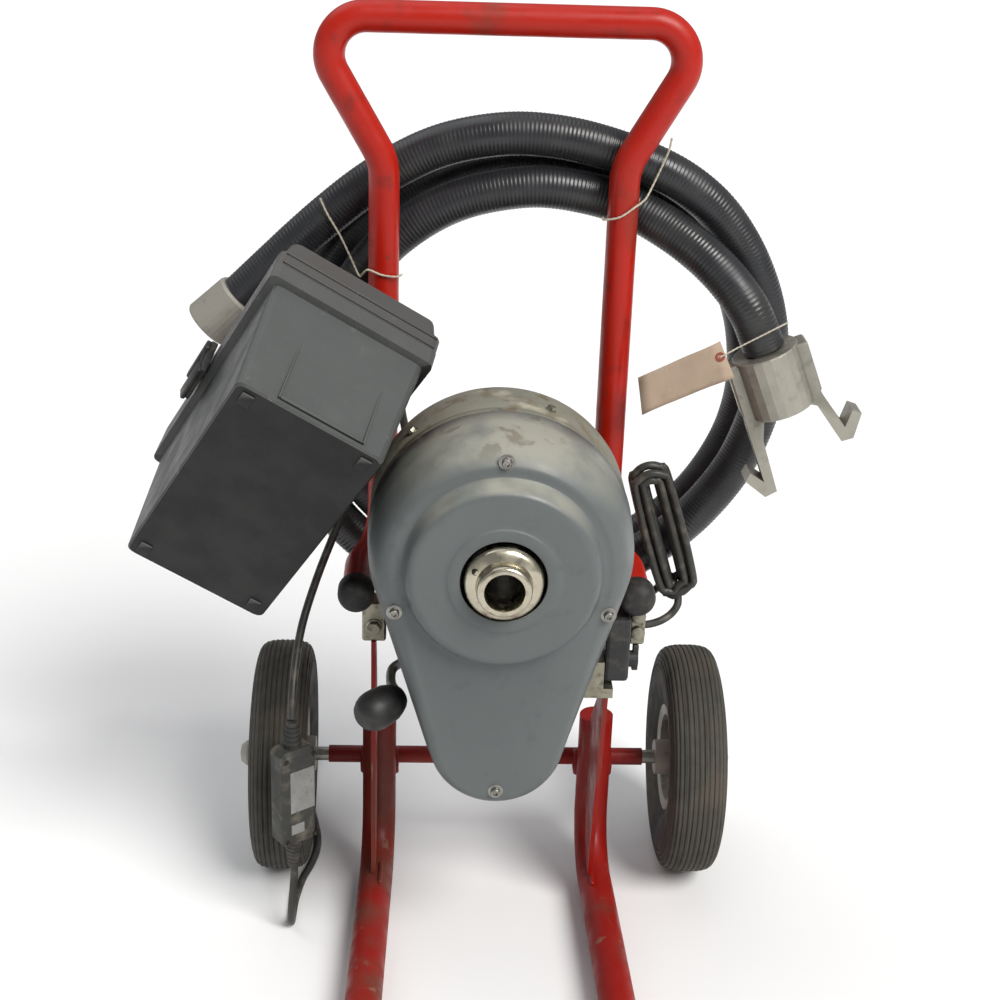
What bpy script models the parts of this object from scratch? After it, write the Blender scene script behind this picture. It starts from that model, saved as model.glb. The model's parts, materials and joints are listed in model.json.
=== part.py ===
"""Drain snake machine on a two-wheeled tube frame, with its guide hose, toolbox and power cord.

Metres, +Z up. The front of the machine faces -Y and +X is on the viewer's right. The floor is z = 0.
All sizes below are in the machine's own frame: the uprights stand in the plane y = 0 and the machine's
middle is x = 0. One empty shifts the whole machine so that the object's origin is at the middle of its base.
"""
import math

import bmesh
import bpy
from mathutils import Matrix, Vector

# ---- driving dimensions -------------------------------------------------------------------------
GAP = 0.0003                 # clearance between touching pieces
ORIGIN_X, ORIGIN_Y = 0.04014, 0.16615   # moves the middle of the base to the origin

TUBE_R = 0.0159              # upper frame, 1 1/4 in tube
UPRIGHT_X = 0.1226
ARM_Z, ARM_X, ARM_Y, ARM_TOE_Y = 0.412, 0.1440, -0.1355, -0.075
CLAMP_DROP = 0.062           # from the arm's middle down to the bottom of its hanger
FLARE_Z, TOP_Z, TOP_X = 0.827, 0.9697, 0.205
LEG_R = 0.01905              # lower frame, 1 1/2 in tube
LEG_X, LEG_Y, LEG_TOP, FLOOR_RUN_Z, LEG_FRONT = 0.1235, -0.03, 0.205, 0.0245, -0.43
LEG_TOE = 1.09               # how much wider the legs stand at their front ends
AXLE_Z, AXLE_R, AXLE_TUBE_R, AXLE_TUBE_X = 0.132, 0.0079, 0.010, 0.183
WHEEL_X, WHEEL_R, TYRE_HALF, AXLE_END = 0.234, 0.132, 0.032, 0.042
HUB_Z = 0.488                # spindle axis
GUARD_BACK, GUARD_WALL, GUARD_FACE, GUARD_STEP = -0.165, -0.212, -0.252, -0.272
GUARD_R, LOBE_R, LOBE_DROP = 0.133, 0.0765, 0.1945
STEP_R, STEP_LEAN, HUB_HOLE_R = 0.091, 15, 0.0415
HOUSING_R, HOUSING_BACK = 0.1325, -0.075
SPINDLE_R, BORE_R = 0.025, 0.019
MOTOR_Z, MOTOR_R, MOTOR_BACK = HUB_Z - LOBE_DROP, 0.056, 0.012
BELT_Y = -0.195
BIG_PULLEY_R, SMALL_PULLEY_R = 0.100, 0.030
HOSE_R = 0.0225
COIL_X, COIL_Z, COIL_FRONT, COIL_BACK = 0.035, 0.575, 0.0175, 0.1115
COIL_IN, COIL_OUT = 0.198, 0.298
CORD_R = 0.0044
BOX_ORIGIN = Vector((-0.2404, -0.2516, 0.5513))    # middle of the toolbox's bottom
BOX_W, BOX_L, BOX_H, BOX_DRAFT, BOX_WALL, BOX_RIM, LID_H = 0.150, 0.272, 0.156, 0.007, 0.003, 0.006, 0.054
LATCH_Y = 0.016              # the latch sits this far from the middle of the box's length
BOX_X_AXIS = Vector((0.864, 0.014, -0.503)).normalized()
BOX_Z_AXIS = Vector((0.191, 0.916, 0.354)).normalized()
ROUND = 28                   # segments of large round pieces

FRONT = Matrix.Rotation(math.pi / 2, 4, "X")       # a turned piece's +Z points to the front, -Y
SIDE = Matrix.Rotation(math.pi / 2, 4, "Y")        # a turned piece's +Z points to +X


# ---- scene, materials and helpers ---------------------------------------------------------------
def start():
    """Empties the scene and returns the collections of the parts and the cutters."""
    for old in list(bpy.data.objects):
        bpy.data.objects.remove(old, do_unlink=True)
    found = []
    for name in ("drain_snake_machine", "cutters"):
        col = bpy.data.collections.new(name)
        bpy.context.scene.collection.children.link(col)
        found.append(col)
    return found


PARTS, CUTTERS = start()
ROOT = bpy.data.objects.new("machine_frame", None)
PARTS.objects.link(ROOT)
ROOT.location = (ORIGIN_X, ORIGIN_Y, 0)
MATERIALS = {}


def material(name, colour, roughness, metallic=0.0):
    mat = bpy.data.materials.new(name)
    mat.use_nodes = True
    shader = mat.node_tree.nodes["Principled BSDF"]
    shader.inputs["Base Color"].default_value = (*colour, 1)
    shader.inputs["Roughness"].default_value = roughness
    shader.inputs["Metallic"].default_value = metallic
    MATERIALS[name] = mat


def make_materials():
    material("red_paint", (0.42, 0.018, 0.010), 0.45)
    material("grey_cover", (0.15, 0.18, 0.18), 0.5)
    material("cast_aluminium", (0.45, 0.43, 0.38), 0.45, 0.9)
    material("zinc", (0.50, 0.48, 0.40), 0.4, 0.9)
    material("nickel", (0.55, 0.53, 0.47), 0.28, 1.0)
    material("steel", (0.35, 0.35, 0.35), 0.4, 1.0)
    material("black_rubber", (0.012, 0.012, 0.013), 0.75)
    material("tyre", (0.035, 0.034, 0.030), 0.85)
    material("black_plastic", (0.018, 0.018, 0.019), 0.55)
    material("box_plastic", (0.055, 0.060, 0.058), 0.55)
    material("hose", (0.022, 0.024, 0.026), 0.4)
    material("button_red", (0.35, 0.02, 0.02), 0.5)
    material("button_dark", (0.03, 0.03, 0.05), 0.5)


def finish(obj, mat, parent=None, smooth=True):
    """Gives a piece its material and its parent, and shades its round faces smooth."""
    if obj.name not in PARTS.objects:
        PARTS.objects.link(obj)
    obj.data.materials.clear()
    obj.data.materials.append(MATERIALS[mat])
    obj.parent = parent or ROOT
    if smooth and obj.type == "MESH":
        obj.data.shade_smooth()
        obj.data.set_sharp_from_angle(angle=math.radians(35))
    return obj


def empty(name, location, parent=None):
    """An empty on a joint's axis."""
    obj = bpy.data.objects.new(name, None)
    PARTS.objects.link(obj)
    obj.location = location
    obj.parent = parent or ROOT
    return obj


def new_mesh(name, bm):
    mesh = bpy.data.meshes.new(name)
    bm.normal_update()
    bm.to_mesh(mesh)
    bm.free()
    return bpy.data.objects.new(name, mesh)


def turned(name, profile, mat, matrix, steps=ROUND, closed=False, parent=None):
    """A turned piece. The profile is (radius, height) pairs that run down its outer side."""
    bm = bmesh.new()
    verts = [bm.verts.new((r, 0, h)) for r, h in profile]
    for a, b in zip(verts, verts[1:]):
        bm.edges.new((a, b))
    if closed:
        bm.edges.new((verts[-1], verts[0]))
    obj = new_mesh(name, bm)
    screw = obj.modifiers.new("turn", "SCREW")
    screw.steps = screw.render_steps = steps
    screw.use_merge_vertices = True
    screw.merge_threshold = 0.00001
    screw.use_normal_calculate = False
    finish(obj, mat, parent, smooth=False)
    obj.matrix_local = matrix
    return obj


def ring(name, inner, outer, low, high, mat, matrix, steps=ROUND, parent=None, chamfer=0.0):
    """A plain ring between two radii and two heights, with chamfered outer corners."""
    corners = [(outer, high), (outer, low)]
    if chamfer:
        corners = [(outer - chamfer, high), (outer, high - chamfer), (outer, low + chamfer),
                   (outer - chamfer, low)]
    return turned(name, [(inner, high)] + corners + [(inner, low)], mat, matrix, steps, True, parent)


def at(x, y, z, turn=None):
    return Matrix.Translation((x, y, z)) @ (turn or Matrix())


def box(name, size, mat, matrix, bevel=0.0, segments=2, parent=None):
    """A block with rounded edges."""
    bm = bmesh.new()
    bmesh.ops.create_cube(bm, size=1)
    bmesh.ops.scale(bm, vec=size, verts=bm.verts)
    obj = new_mesh(name, bm)
    if bevel:
        mod = obj.modifiers.new("edges", "BEVEL")
        mod.width = bevel
        mod.segments = segments
        mod.harden_normals = False
    finish(obj, mat, parent)
    obj.matrix_local = matrix
    return obj


def plate(name, outline, low, high, mat, matrix, bevel=0.0, parent=None):
    """A flat outline in its own XY plane, as thick as from low to high along its Z."""
    bm = bmesh.new()
    face = bm.faces.new([bm.verts.new((x, y, low)) for x, y in outline])
    face.normal_update()
    if face.normal.z > 0:
        face.normal_flip()
    out = bmesh.ops.extrude_face_region(bm, geom=[face])
    moved = [v for v in out["geom"] if isinstance(v, bmesh.types.BMVert)]
    bmesh.ops.translate(bm, vec=(0, 0, high - low), verts=moved)
    bmesh.ops.recalc_face_normals(bm, faces=bm.faces)
    obj = new_mesh(name, bm)
    if bevel:
        mod = obj.modifiers.new("edges", "BEVEL")
        mod.width = bevel
        mod.segments = 2
        mod.limit_method = "ANGLE"
        mod.angle_limit = math.radians(50)
    finish(obj, mat, parent)
    obj.matrix_local = matrix
    return obj


def join_rings(bm, rings):
    """Joins rings of equally many vertices with quads."""
    count = len(rings[0])
    for low, high in zip(rings, rings[1:]):
        for k in range(count):
            bm.faces.new((low[k], low[(k + 1) % count], high[(k + 1) % count], high[k]))


def arc(cx, cy, radius, start, stop, count):
    """Points on an arc, angles in degrees."""
    step = (stop - start) / (count - 1)
    angles = [math.radians(start + step * i) for i in range(count)]
    return [(cx + radius * math.cos(a), cy + radius * math.sin(a)) for a in angles]


def filleted(points, radii, step=12):
    """Rounds the corners of a polyline; one arc point for about every step degrees."""
    out = [Vector(points[0])]
    for prev, corner, nxt, radius in zip(points, points[1:], points[2:], radii):
        corner, a, b = Vector(corner), Vector(prev) - Vector(corner), Vector(nxt) - Vector(corner)
        a.normalize()
        b.normalize()
        half = a.angle(b) / 2
        centre = corner + (a + b).normalized() * (radius / math.sin(half))
        start, stop = corner + a * (radius / math.tan(half)), corner + b * (radius / math.tan(half))
        turn = math.pi - 2 * half
        count = max(3, round(math.degrees(turn) / step))
        for i in range(count + 1):
            t = i / count
            s = start - centre
            e = stop - centre
            out.append(centre + (s * math.sin((1 - t) * turn) + e * math.sin(t * turn)) / math.sin(turn))
    out.append(Vector(points[-1]))
    return out


def tube(name, points, radius, mat, resolution=4, parent=None):
    """A round bar or cord along the points, with closed ends."""
    curve = bpy.data.curves.new(name, "CURVE")
    curve.dimensions = "3D"
    curve.bevel_depth = radius
    curve.bevel_resolution = resolution
    curve.use_fill_caps = True
    spline = curve.splines.new("POLY")
    spline.points.add(len(points) - 1)
    for point, co in zip(spline.points, points):
        point.co = (*co, 1)
    obj = bpy.data.objects.new(name, curve)
    return finish(obj, mat, parent)


def boolean(target, cutter, operation):
    """Cuts the cutter from the target, or joins it on; the cutter leaves the collection of parts."""
    mod = target.modifiers.new(operation.lower(), "BOOLEAN")
    mod.operation = operation
    mod.solver = "EXACT"
    mod.object = cutter
    if cutter.name in PARTS.objects:
        PARTS.objects.unlink(cutter)
        CUTTERS.objects.link(cutter)
    cutter.hide_render = True
    cutter.display_type = "WIRE"


def smooth_route(points, per_leg):
    """A Catmull-Rom curve through the route's points."""
    pts = [Vector(p) for p in points]
    pts = [2 * pts[0] - pts[1]] + pts + [2 * pts[-1] - pts[-2]]
    out = []
    for p0, p1, p2, p3 in zip(pts, pts[1:], pts[2:], pts[3:]):
        for i in range(per_leg):
            t = i / per_leg
            out.append(0.5 * ((2 * p1) + (p2 - p0) * t + (2 * p0 - 5 * p1 + 4 * p2 - p3) * t ** 2
                              + (3 * p1 - p0 - 3 * p2 + p3) * t ** 3))
    out.append(pts[-2])
    return out


# ---- tube frame ---------------------------------------------------------------------------------
def handle_frame():
    half = [(TOP_X, 0, TOP_Z), (UPRIGHT_X, 0, FLARE_Z), (UPRIGHT_X, 0, ARM_Z),
            (ARM_X, ARM_TOE_Y, ARM_Z), (ARM_X, ARM_Y, ARM_Z)]
    corners = [(-x, y, z) for x, y, z in reversed(half)] + half
    radii = [0.06, 0.036, 0.06, 0.0373, 0.0373, 0.06, 0.036, 0.06]
    tube("handle_frame", filleted(corners, radii, 15), TUBE_R, "red_paint", 4)


def arm_caps(side, label):
    """A black rubber cap over the front end of the arm."""
    outer, depth, wall_end = 0.0190, 0.0245, ARM_Y - GAP
    profile = [(0, depth), (outer - 0.006, depth), (outer - 0.0015, depth - 0.005), (outer, depth - 0.012),
               (outer, 0), (0, 0)]
    place = at(side * (ARM_X + 0.0012), wall_end, ARM_Z, FRONT)
    turned("arm_cap_" + label, profile, "black_rubber", place, 24)


def legs(side, label):
    x = side * LEG_X
    corners = [(x, LEG_Y, LEG_TOP), (x, LEG_Y, FLOOR_RUN_Z), (x * LEG_TOE, LEG_FRONT, FLOOR_RUN_Z)]
    tube("leg_" + label, filleted(corners, [0.062], 15), LEG_R, "red_paint", 4)
    cap_r = FLOOR_RUN_Z
    profile = [(0, 0.034), (cap_r - 0.006, 0.034), (cap_r, 0.028), (cap_r, 0), (0, 0)]
    toe_in = Matrix.Rotation(math.atan2(x * (LEG_TOE - 1), LEG_Y - LEG_FRONT), 4, "Z")
    turned("foot_cap_" + label, profile, "black_rubber",
           at(x * LEG_TOE, LEG_FRONT - GAP, FLOOR_RUN_Z, toe_in @ FRONT), 32)


def axle():
    ring("axle_tube", AXLE_R + GAP, AXLE_TUBE_R, -AXLE_TUBE_X, AXLE_TUBE_X, "red_paint",
         at(0, 0, AXLE_Z, SIDE), 20)
    end = WHEEL_X + AXLE_END
    profile = [(0, end), (AXLE_R - 0.001, end), (AXLE_R, end - 0.001), (AXLE_R, -end + 0.001),
               (AXLE_R - 0.001, -end), (0, -end)]
    turned("axle_rod", profile, "steel", at(0, 0, AXLE_Z, SIDE), 20)


def wheel(side, label):
    """A ribbed tyre on a steel disc rim that turns on the axle rod, and the cap that keeps it there."""
    pivot = empty("wheel_axis_" + label, (side * WHEEL_X, 0, AXLE_Z))
    outward = SIDE if side > 0 else Matrix.Rotation(-math.pi / 2, 4, "Y")
    rim_r = 0.062
    tread = [(rim_r, 0.024), (0.080, 0.029), (0.104, TYRE_HALF), (0.118, 0.0305), (0.1265, 0.0265),
             (WHEEL_R - 0.0015, 0.019), (WHEEL_R, 0.008)]
    profile = tread + [(r, -h) for r, h in reversed(tread)]
    turned("tyre_" + label, profile, "tyre", outward, 32, True, pivot)
    bore, hub_r = AXLE_R + GAP, 0.020
    face = [(bore, 0.036), (hub_r, 0.036), (hub_r + 0.002, 0.012), (0.045, 0.010), (0.050, 0.0225),
            (rim_r - GAP, 0.0245)]
    profile = face + [(rim_r - GAP, -0.0245), (0.050, -0.0225), (0.045, 0.004), (hub_r + 0.002, 0.002),
                      (hub_r, -0.036), (bore, -0.036)]
    turned("rim_" + label, profile, "steel", outward, 24, True, pivot)
    inner = AXLE_R + 0.0002
    cap = [(0, AXLE_END + 0.010), (0.010, AXLE_END + 0.008), (0.0145, AXLE_END + 0.002), (0.0145, 0.0365),
           (inner, 0.0365), (inner, AXLE_END + GAP), (0, AXLE_END + GAP)]
    turned("axle_cap_" + label, cap, "steel", at(side * WHEEL_X, 0, AXLE_Z, outward), 20)


def side_plate(name, x, top_y, top_z, width):
    """A flat plate on edge, from its clamp down to the foot of the leg, along the leg's middle plane."""
    foot_z = FLOOR_RUN_Z + LEG_R + 0.001
    rear = LEG_Y - LEG_R - 0.001
    outline = [(top_y - width / 2, top_z), (top_y + width / 2, top_z), (rear, LEG_TOP + 0.01), (rear, 0.088),
               (rear - 0.018, foot_z + 0.013), (rear - 0.045, foot_z), (rear - 0.062, foot_z)]
    axes = Matrix(((0, 0, 1, x), (1, 0, 0, 0), (0, 1, 0, 0), (0, 0, 0, 1)))
    plate(name, outline, -0.0025, 0.0025, "red_paint", axes)


def arm_clamps():
    """Zinc-plated hanger blocks under the arms; the right one stands outside the switch box."""
    top, low = ARM_Z - TUBE_R - 2 * GAP, ARM_Z - CLAMP_DROP
    for label, x, width in (("left", -0.127, 0.025), ("right", 0.1495, 0.016)):
        box("arm_clamp_" + label, (width, 0.026, top - low), "zinc",
            at(x, ARM_Y + 0.0145, (top + low) / 2), 0.002, 1)


# ---- drive housing ------------------------------------------------------------------------------
def teardrop(main_r, lobe_r, count=22):
    """The belt guard's outline: a large circle and a smaller one below it, joined by their tangents."""
    lean = math.degrees(math.asin((main_r - lobe_r) / LOBE_DROP))
    points = arc(0, 0, main_r, -lean, 180 + lean, count)
    return points + arc(0, -LOBE_DROP, lobe_r, 180 + lean, 360 - lean, count // 2)


def step_circle(radius, count=22):
    """A circle with as many points as the outline, in the same order."""
    lobe = count // 2
    part = (180 - 2 * STEP_LEAN) / (lobe + 1)
    points = arc(0, 0, radius, -STEP_LEAN, 180 + STEP_LEAN, count)
    return points + arc(0, 0, radius, 180 + STEP_LEAN + part, 360 - STEP_LEAN - part, lobe)


def guard_cover():
    """The cover: a wall, a sloping shoulder, a flat face and a raised round step with the hub's hole."""
    walls = [(GUARD_BACK - GAP, 0.0, 0.0), (GUARD_WALL, 0.003, 0.003), (GUARD_WALL - 0.014, 0.007, 0.006),
             (GUARD_FACE + 0.006, 0.018, 0.010), (GUARD_FACE, 0.026, 0.017)]
    sections = [(y, teardrop(GUARD_R - in_main, LOBE_R - in_lobe)) for y, in_main, in_lobe in walls]
    sections += [(y, step_circle(radius)) for radius, y in (
        (STEP_R + 0.005, GUARD_FACE - 0.001), (STEP_R, GUARD_STEP + 0.004), (STEP_R - 0.005, GUARD_STEP),
        (0.056, GUARD_STEP), (0.053, GUARD_STEP - 0.002), (HUB_HOLE_R, GUARD_STEP - 0.002))]
    bm = bmesh.new()
    rings = [[bm.verts.new((x, y, z + HUB_Z)) for x, z in points] for y, points in sections]
    join_rings(bm, rings)
    bmesh.ops.recalc_face_normals(bm, faces=bm.faces)
    obj = new_mesh("belt_guard_cover", bm)
    solid = obj.modifiers.new("wall", "SOLIDIFY")
    solid.thickness = 0.003
    solid.offset = -1
    return finish(obj, "grey_cover")


def guard_back():
    """The back of the belt guard, with holes for the spindle and the motor's shaft."""
    back = plate("belt_guard_back", teardrop(GUARD_R, LOBE_R), -GUARD_BACK - 0.004, -GUARD_BACK,
                 "cast_aluminium", at(0, 0, HUB_Z, FRONT))
    for radius, z in ((0.032, HUB_Z), (0.012, MOTOR_Z)):
        hole = turned("guard_hole", [(0, 0.3), (radius, 0.3), (radius, 0), (0, 0)], "steel",
                      at(0, 0, z, FRONT), 24)
        boolean(back, hole, "DIFFERENCE")


def rear_housing():
    """The cast drum behind the belt guard, open at the front, with a hole for the spindle at the back."""
    front, back, wall = -(GUARD_BACK + 0.004 + GAP), -HOUSING_BACK, 0.004
    r = HOUSING_R
    profile = [(r - wall, front), (r, front), (r, back + 0.022), (r - 0.006, back + 0.009), (r - 0.02, back),
               (0.034, back), (0.034, back + wall), (r - 0.022, back + wall), (r - 0.010, back + 0.013),
               (r - wall, back + 0.024)]
    turned("rear_housing", profile, "cast_aluminium", at(0, 0, HUB_Z, FRONT), 32, True)


def spindle():
    """The hollow spindle that the drain cable runs through, with its pulley, hub and bearings."""
    axis = empty("spindle_axis", (0, 0, HUB_Z))
    profile = [(BORE_R, 0.262), (SPINDLE_R, 0.262), (SPINDLE_R, 0.052), (BORE_R, 0.052)]
    turned("spindle_tube", profile, "steel", FRONT, 32, True, axis)
    inner = SPINDLE_R + GAP
    groove = BIG_PULLEY_R - 0.008
    profile = [(inner, 0.210), (0.036, 0.210), (0.036, -BELT_Y + 0.006), (BIG_PULLEY_R - 0.014, -BELT_Y + 0.006),
               (BIG_PULLEY_R, -BELT_Y + 0.009), (groove, -BELT_Y + 0.004), (groove, -BELT_Y - 0.004),
               (BIG_PULLEY_R, -BELT_Y - 0.009), (BIG_PULLEY_R - 0.014, -BELT_Y - 0.006),
               (0.036, -BELT_Y - 0.006), (0.036, 0.176), (inner, 0.176)]
    turned("spindle_pulley", profile, "cast_aluminium", FRONT, ROUND, True, axis)
    front = -GUARD_STEP + 0.011
    profile = [(BORE_R, front + 0.015), (0.0235, front + 0.015), (0.0262, front + 0.012), (0.0265, front + 0.002),
               (0.033, front), (0.0375, front - 0.004), (0.0385, front - 0.012), (0.0385, front - 0.024),
               (inner, front - 0.024), (inner, 0.2625), (BORE_R, 0.2625)]
    turned("front_hub", profile, "nickel", FRONT, ROUND, True, axis)
    ring("front_bearing", inner, 0.0315, 0.150, 0.166, "steel", at(0, 0, HUB_Z, FRONT), 28, chamfer=0.001)
    ring("rear_bearing", inner, 0.0335, 0.0755, 0.090, "steel", at(0, 0, HUB_Z, FRONT), 28, chamfer=0.001)
    return axis


def clutch(axis):
    """Three jaws that close on the cable, the collar that pushes them, and the lever with its grip."""
    for k in range(3):
        turn = Matrix.Rotation(math.radians(120 * k + 90), 4, "Y")
        box("clutch_jaw_%d" % (k + 1), (0.0075, 0.020, 0.009), "steel",
            turn @ at(BORE_R - 0.0050, -0.1585, 0), 0.0008, 1, axis)
    ring("thrust_collar", SPINDLE_R + 0.0008, 0.040, 0.108, 0.124, "steel", at(0, 0, HUB_Z, FRONT), 28,
         chamfer=0.0015)
    pivot = empty("clutch_axis", (-0.078, -0.150, 0.345))
    start, along = Vector((-0.0200, -0.0466, -0.0240)), Vector((-0.70, -0.68, -0.10)).normalized()
    lever = [(0.003, -0.0035, 0), (-0.012, -0.0035, -0.005), (-0.0245, -0.0085, -0.012), (-0.022, -0.027, -0.020),
             start - along * 0.006, start - along * 0.0028]
    tube("clutch_lever", smooth_route(lever, 3), 0.0050, "steel", 2, pivot)
    profile = [(0, 0.056), (0.010, 0.0545), (0.0180, 0.046), (0.0208, 0.035), (0.0195, 0.017), (0.014, 0.004),
               (0.009, 0), (0, 0)]
    turn = along.to_track_quat("Z", "Y").to_matrix().to_4x4()
    turned("clutch_grip", profile, "black_rubber", Matrix.Translation(start) @ turn, 24, False, pivot)


def cover_screws():
    """Four cap screws that hold the cover."""
    head = [(0, 0.006), (0.0045, 0.006), (0.005, 0.005), (0.005, 0), (0.0, 0)]
    spots = {"top": (0.0, 0.1135, -GUARD_FACE - 0.0005), "left": (-0.104, -0.044, -GUARD_FACE - 0.0003),
             "right": (0.104, -0.044, -GUARD_FACE - 0.0003), "bottom": (0.0, -LOBE_DROP - 0.0503,
                                                                        -GUARD_FACE + GAP)}
    for label, (x, z, depth) in spots.items():
        turned("cover_screw_" + label, head, "steel", at(x, -depth - GAP - 0.0002, HUB_Z + z, FRONT), 16)


def motor():
    """The motor behind the lobe, its small pulley, and the V-belt round both pulleys."""
    front = -(GUARD_BACK + 0.004 + GAP)
    back = -MOTOR_BACK
    r = MOTOR_R
    profile = [(0, front), (r - 0.006, front), (r, front - 0.006), (r, front - 0.040),
               (r - 0.004, front - 0.044),
               (r - 0.004, back + 0.044), (r, back + 0.040), (r, back + 0.010), (r - 0.010, back), (0, back)]
    turned("motor_body", profile, "black_plastic", at(0, 0, MOTOR_Z, FRONT), ROUND)
    axis = empty("motor_axis", (0, 0, MOTOR_Z))
    groove = SMALL_PULLEY_R - 0.008
    profile = [(0, 0.212), (0.008, 0.212), (0.008, -BELT_Y + 0.009), (SMALL_PULLEY_R, -BELT_Y + 0.009),
               (groove, -BELT_Y + 0.004), (groove, -BELT_Y - 0.004), (SMALL_PULLEY_R, -BELT_Y - 0.009),
               (0.008, -BELT_Y - 0.009), (0.008, front + GAP), (0, front + GAP)]
    turned("motor_pulley", profile, "steel", FRONT, 28, False, axis)


def belt():
    """The V-belt, a closed band whose inner side clears both pulley grooves."""
    inner, outer = (teardrop(BIG_PULLEY_R - depth, SMALL_PULLEY_R - depth) for depth in (0.0074, 0.0010))
    sections = [(inner, -0.0033), (inner, 0.0033), (outer, 0.0066), (outer, -0.0066)]
    bm = bmesh.new()
    loops = [[bm.verts.new((x, BELT_Y + off, HUB_Z + z)) for x, z in pts] for pts, off in sections]
    join_rings(bm, loops + loops[:1])
    bmesh.ops.recalc_face_normals(bm, faces=bm.faces)
    finish(new_mesh("drive_belt", bm), "black_rubber")


def hose_flange():
    """The flange round the rear of the spindle, where the guide hose's coupling hooks on."""
    body = ring("hose_flange", 0.036, 0.050, 0.052, -HOUSING_BACK - GAP, "cast_aluminium",
                at(0, 0, HUB_Z, FRONT), 32,
                chamfer=0.002)
    for side in (-1, 1):
        stud = turned("flange_stud", [(0, 0.018), (0.006, 0.018), (0.006, -0.018), (0, -0.018)], "steel",
                      at(side * 0.060, -0.0635, HUB_Z, SIDE), 16)
        boolean(body, stud, "UNION")


def switch():
    """The switch box behind the belt guard's right edge, its bracket, its rotary lever and its cord gland."""
    outline = [(0.092, 0.300), (0.1245, 0.300), (0.1245, 0.311), (0.114, 0.311), (0.114, 0.342),
               (0.092, 0.342)]
    plate("switch_bracket", outline, 0.130, 0.160, "zinc", FRONT)
    box("switch_box", (0.0255, 0.058, 0.0735), "black_plastic", at(0.12725, -0.129, 0.35475), 0.004)
    pivot = empty("switch_axis", (0.1402, -0.129, 0.331))
    knob = [(0, 0.012), (0.008, 0.012), (0.009, 0.010), (0.009, 0), (0, 0)]
    dial = turned("switch_lever", knob, "black_plastic", SIDE, 20, False, pivot)
    fin = box("switch_fin", (0.0065, 0.006, 0.030), "black_plastic", at(0.0092, 0, 0.002), 0.001, 1, pivot)
    boolean(dial, fin, "UNION")
    gland = [(0, 0.016), (0.0062, 0.016), (0.0075, 0.013), (0.009, 0.004), (0.009, 0), (0, 0)]
    up = Matrix.Rotation(-math.pi / 2, 4, "X")
    turned("cord_gland", gland, "black_rubber", at(0.1272, -0.100 + GAP, 0.340, up), 16)


# ---- toolbox ------------------------------------------------------------------------------------
def rounded_rect(width, length, radius, count=3):
    out = []
    for sx, sy, start in ((1, 1, 0), (-1, 1, 90), (-1, -1, 180), (1, -1, 270)):
        cx, cy = sx * (width / 2 - radius), sy * (length / 2 - radius)
        out += arc(cx, cy, radius, start, start + 90, count + 1)
    return out


def loft_rings(bm, rings, close_first, close_last):
    """Joins rings of equal length with quads, and closes the first and the last one if asked."""
    loops = [[bm.verts.new(p) for p in pts] for pts in rings]
    join_rings(bm, loops)
    if close_first:
        bm.faces.new(list(reversed(loops[0])))
    if close_last:
        bm.faces.new(loops[-1])


def toolbox():
    """A drafted plastic box with a rim, a lid on a moulded hinge and an over-centre latch.

    In its own frame the box stands on z = 0, with its length along Y and its latch on -X.
    """
    frame = empty("toolbox_frame", BOX_ORIGIN)
    y_axis = BOX_Z_AXIS.cross(BOX_X_AXIS).normalized()
    x_axis = y_axis.cross(BOX_Z_AXIS)
    turn = Matrix((x_axis, y_axis, BOX_Z_AXIS)).transposed().to_4x4()
    frame.matrix_local = Matrix.Translation(BOX_ORIGIN) @ turn

    def section(grow, z, radius=0.007):
        return [(x, y, z) for x, y in rounded_rect(BOX_W + 2 * grow, BOX_L + 2 * grow, radius)]

    wall, d, rim = BOX_WALL, BOX_DRAFT, BOX_RIM
    outer = [section(-0.002, 0), section(0, 0.002), section(d * 0.85, BOX_H - 0.022),
             section(d + rim, BOX_H - 0.020),
             section(d + rim, BOX_H)]
    inner = [section(d - wall, BOX_H), section(-wall, wall + 0.002), section(-wall - 0.003, wall)]
    bm = bmesh.new()
    loft_rings(bm, outer + inner, True, True)
    bmesh.ops.recalc_face_normals(bm, faces=bm.faces)
    finish(new_mesh("toolbox_body", bm), "box_plastic", frame)

    hinge = empty("lid_axis", (BOX_W / 2 + d + rim + 0.006, 0, BOX_H + 0.002), frame)
    shift = -hinge.location
    low = BOX_H + GAP

    def lid_section(grow, z, radius=0.009):
        return [(x + shift.x, y, z + shift.z) for x, y in rounded_rect(BOX_W + 2 * grow, BOX_L + 2 * grow,
                                                                       radius)]

    outer = [lid_section(d + rim, low), lid_section(d + rim, low + 0.020),
             lid_section(d + 0.002, low + 0.024),
             lid_section(d - 0.002, low + LID_H - 0.007), lid_section(d - 0.010, low + LID_H)]
    inner = [lid_section(d - 0.013, low + LID_H - wall), lid_section(d - 0.006, low + LID_H - wall - 0.004),
             lid_section(d - 0.002, low)]
    bm = bmesh.new()
    loft_rings(bm, list(reversed(outer)) + list(reversed(inner)), True, True)
    bmesh.ops.recalc_face_normals(bm, faces=bm.faces)
    finish(new_mesh("toolbox_lid", bm), "box_plastic", hinge)

    latch_x = -(BOX_W / 2 + d + rim + 0.0008)
    latch = empty("latch_axis", (latch_x - 0.004, LATCH_Y, BOX_H + 0.012), frame)
    box("toolbox_latch", (0.0075, 0.046, 0.0455), "black_plastic", at(-0.001, 0, -0.0195), 0.0015, 1, latch)


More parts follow.
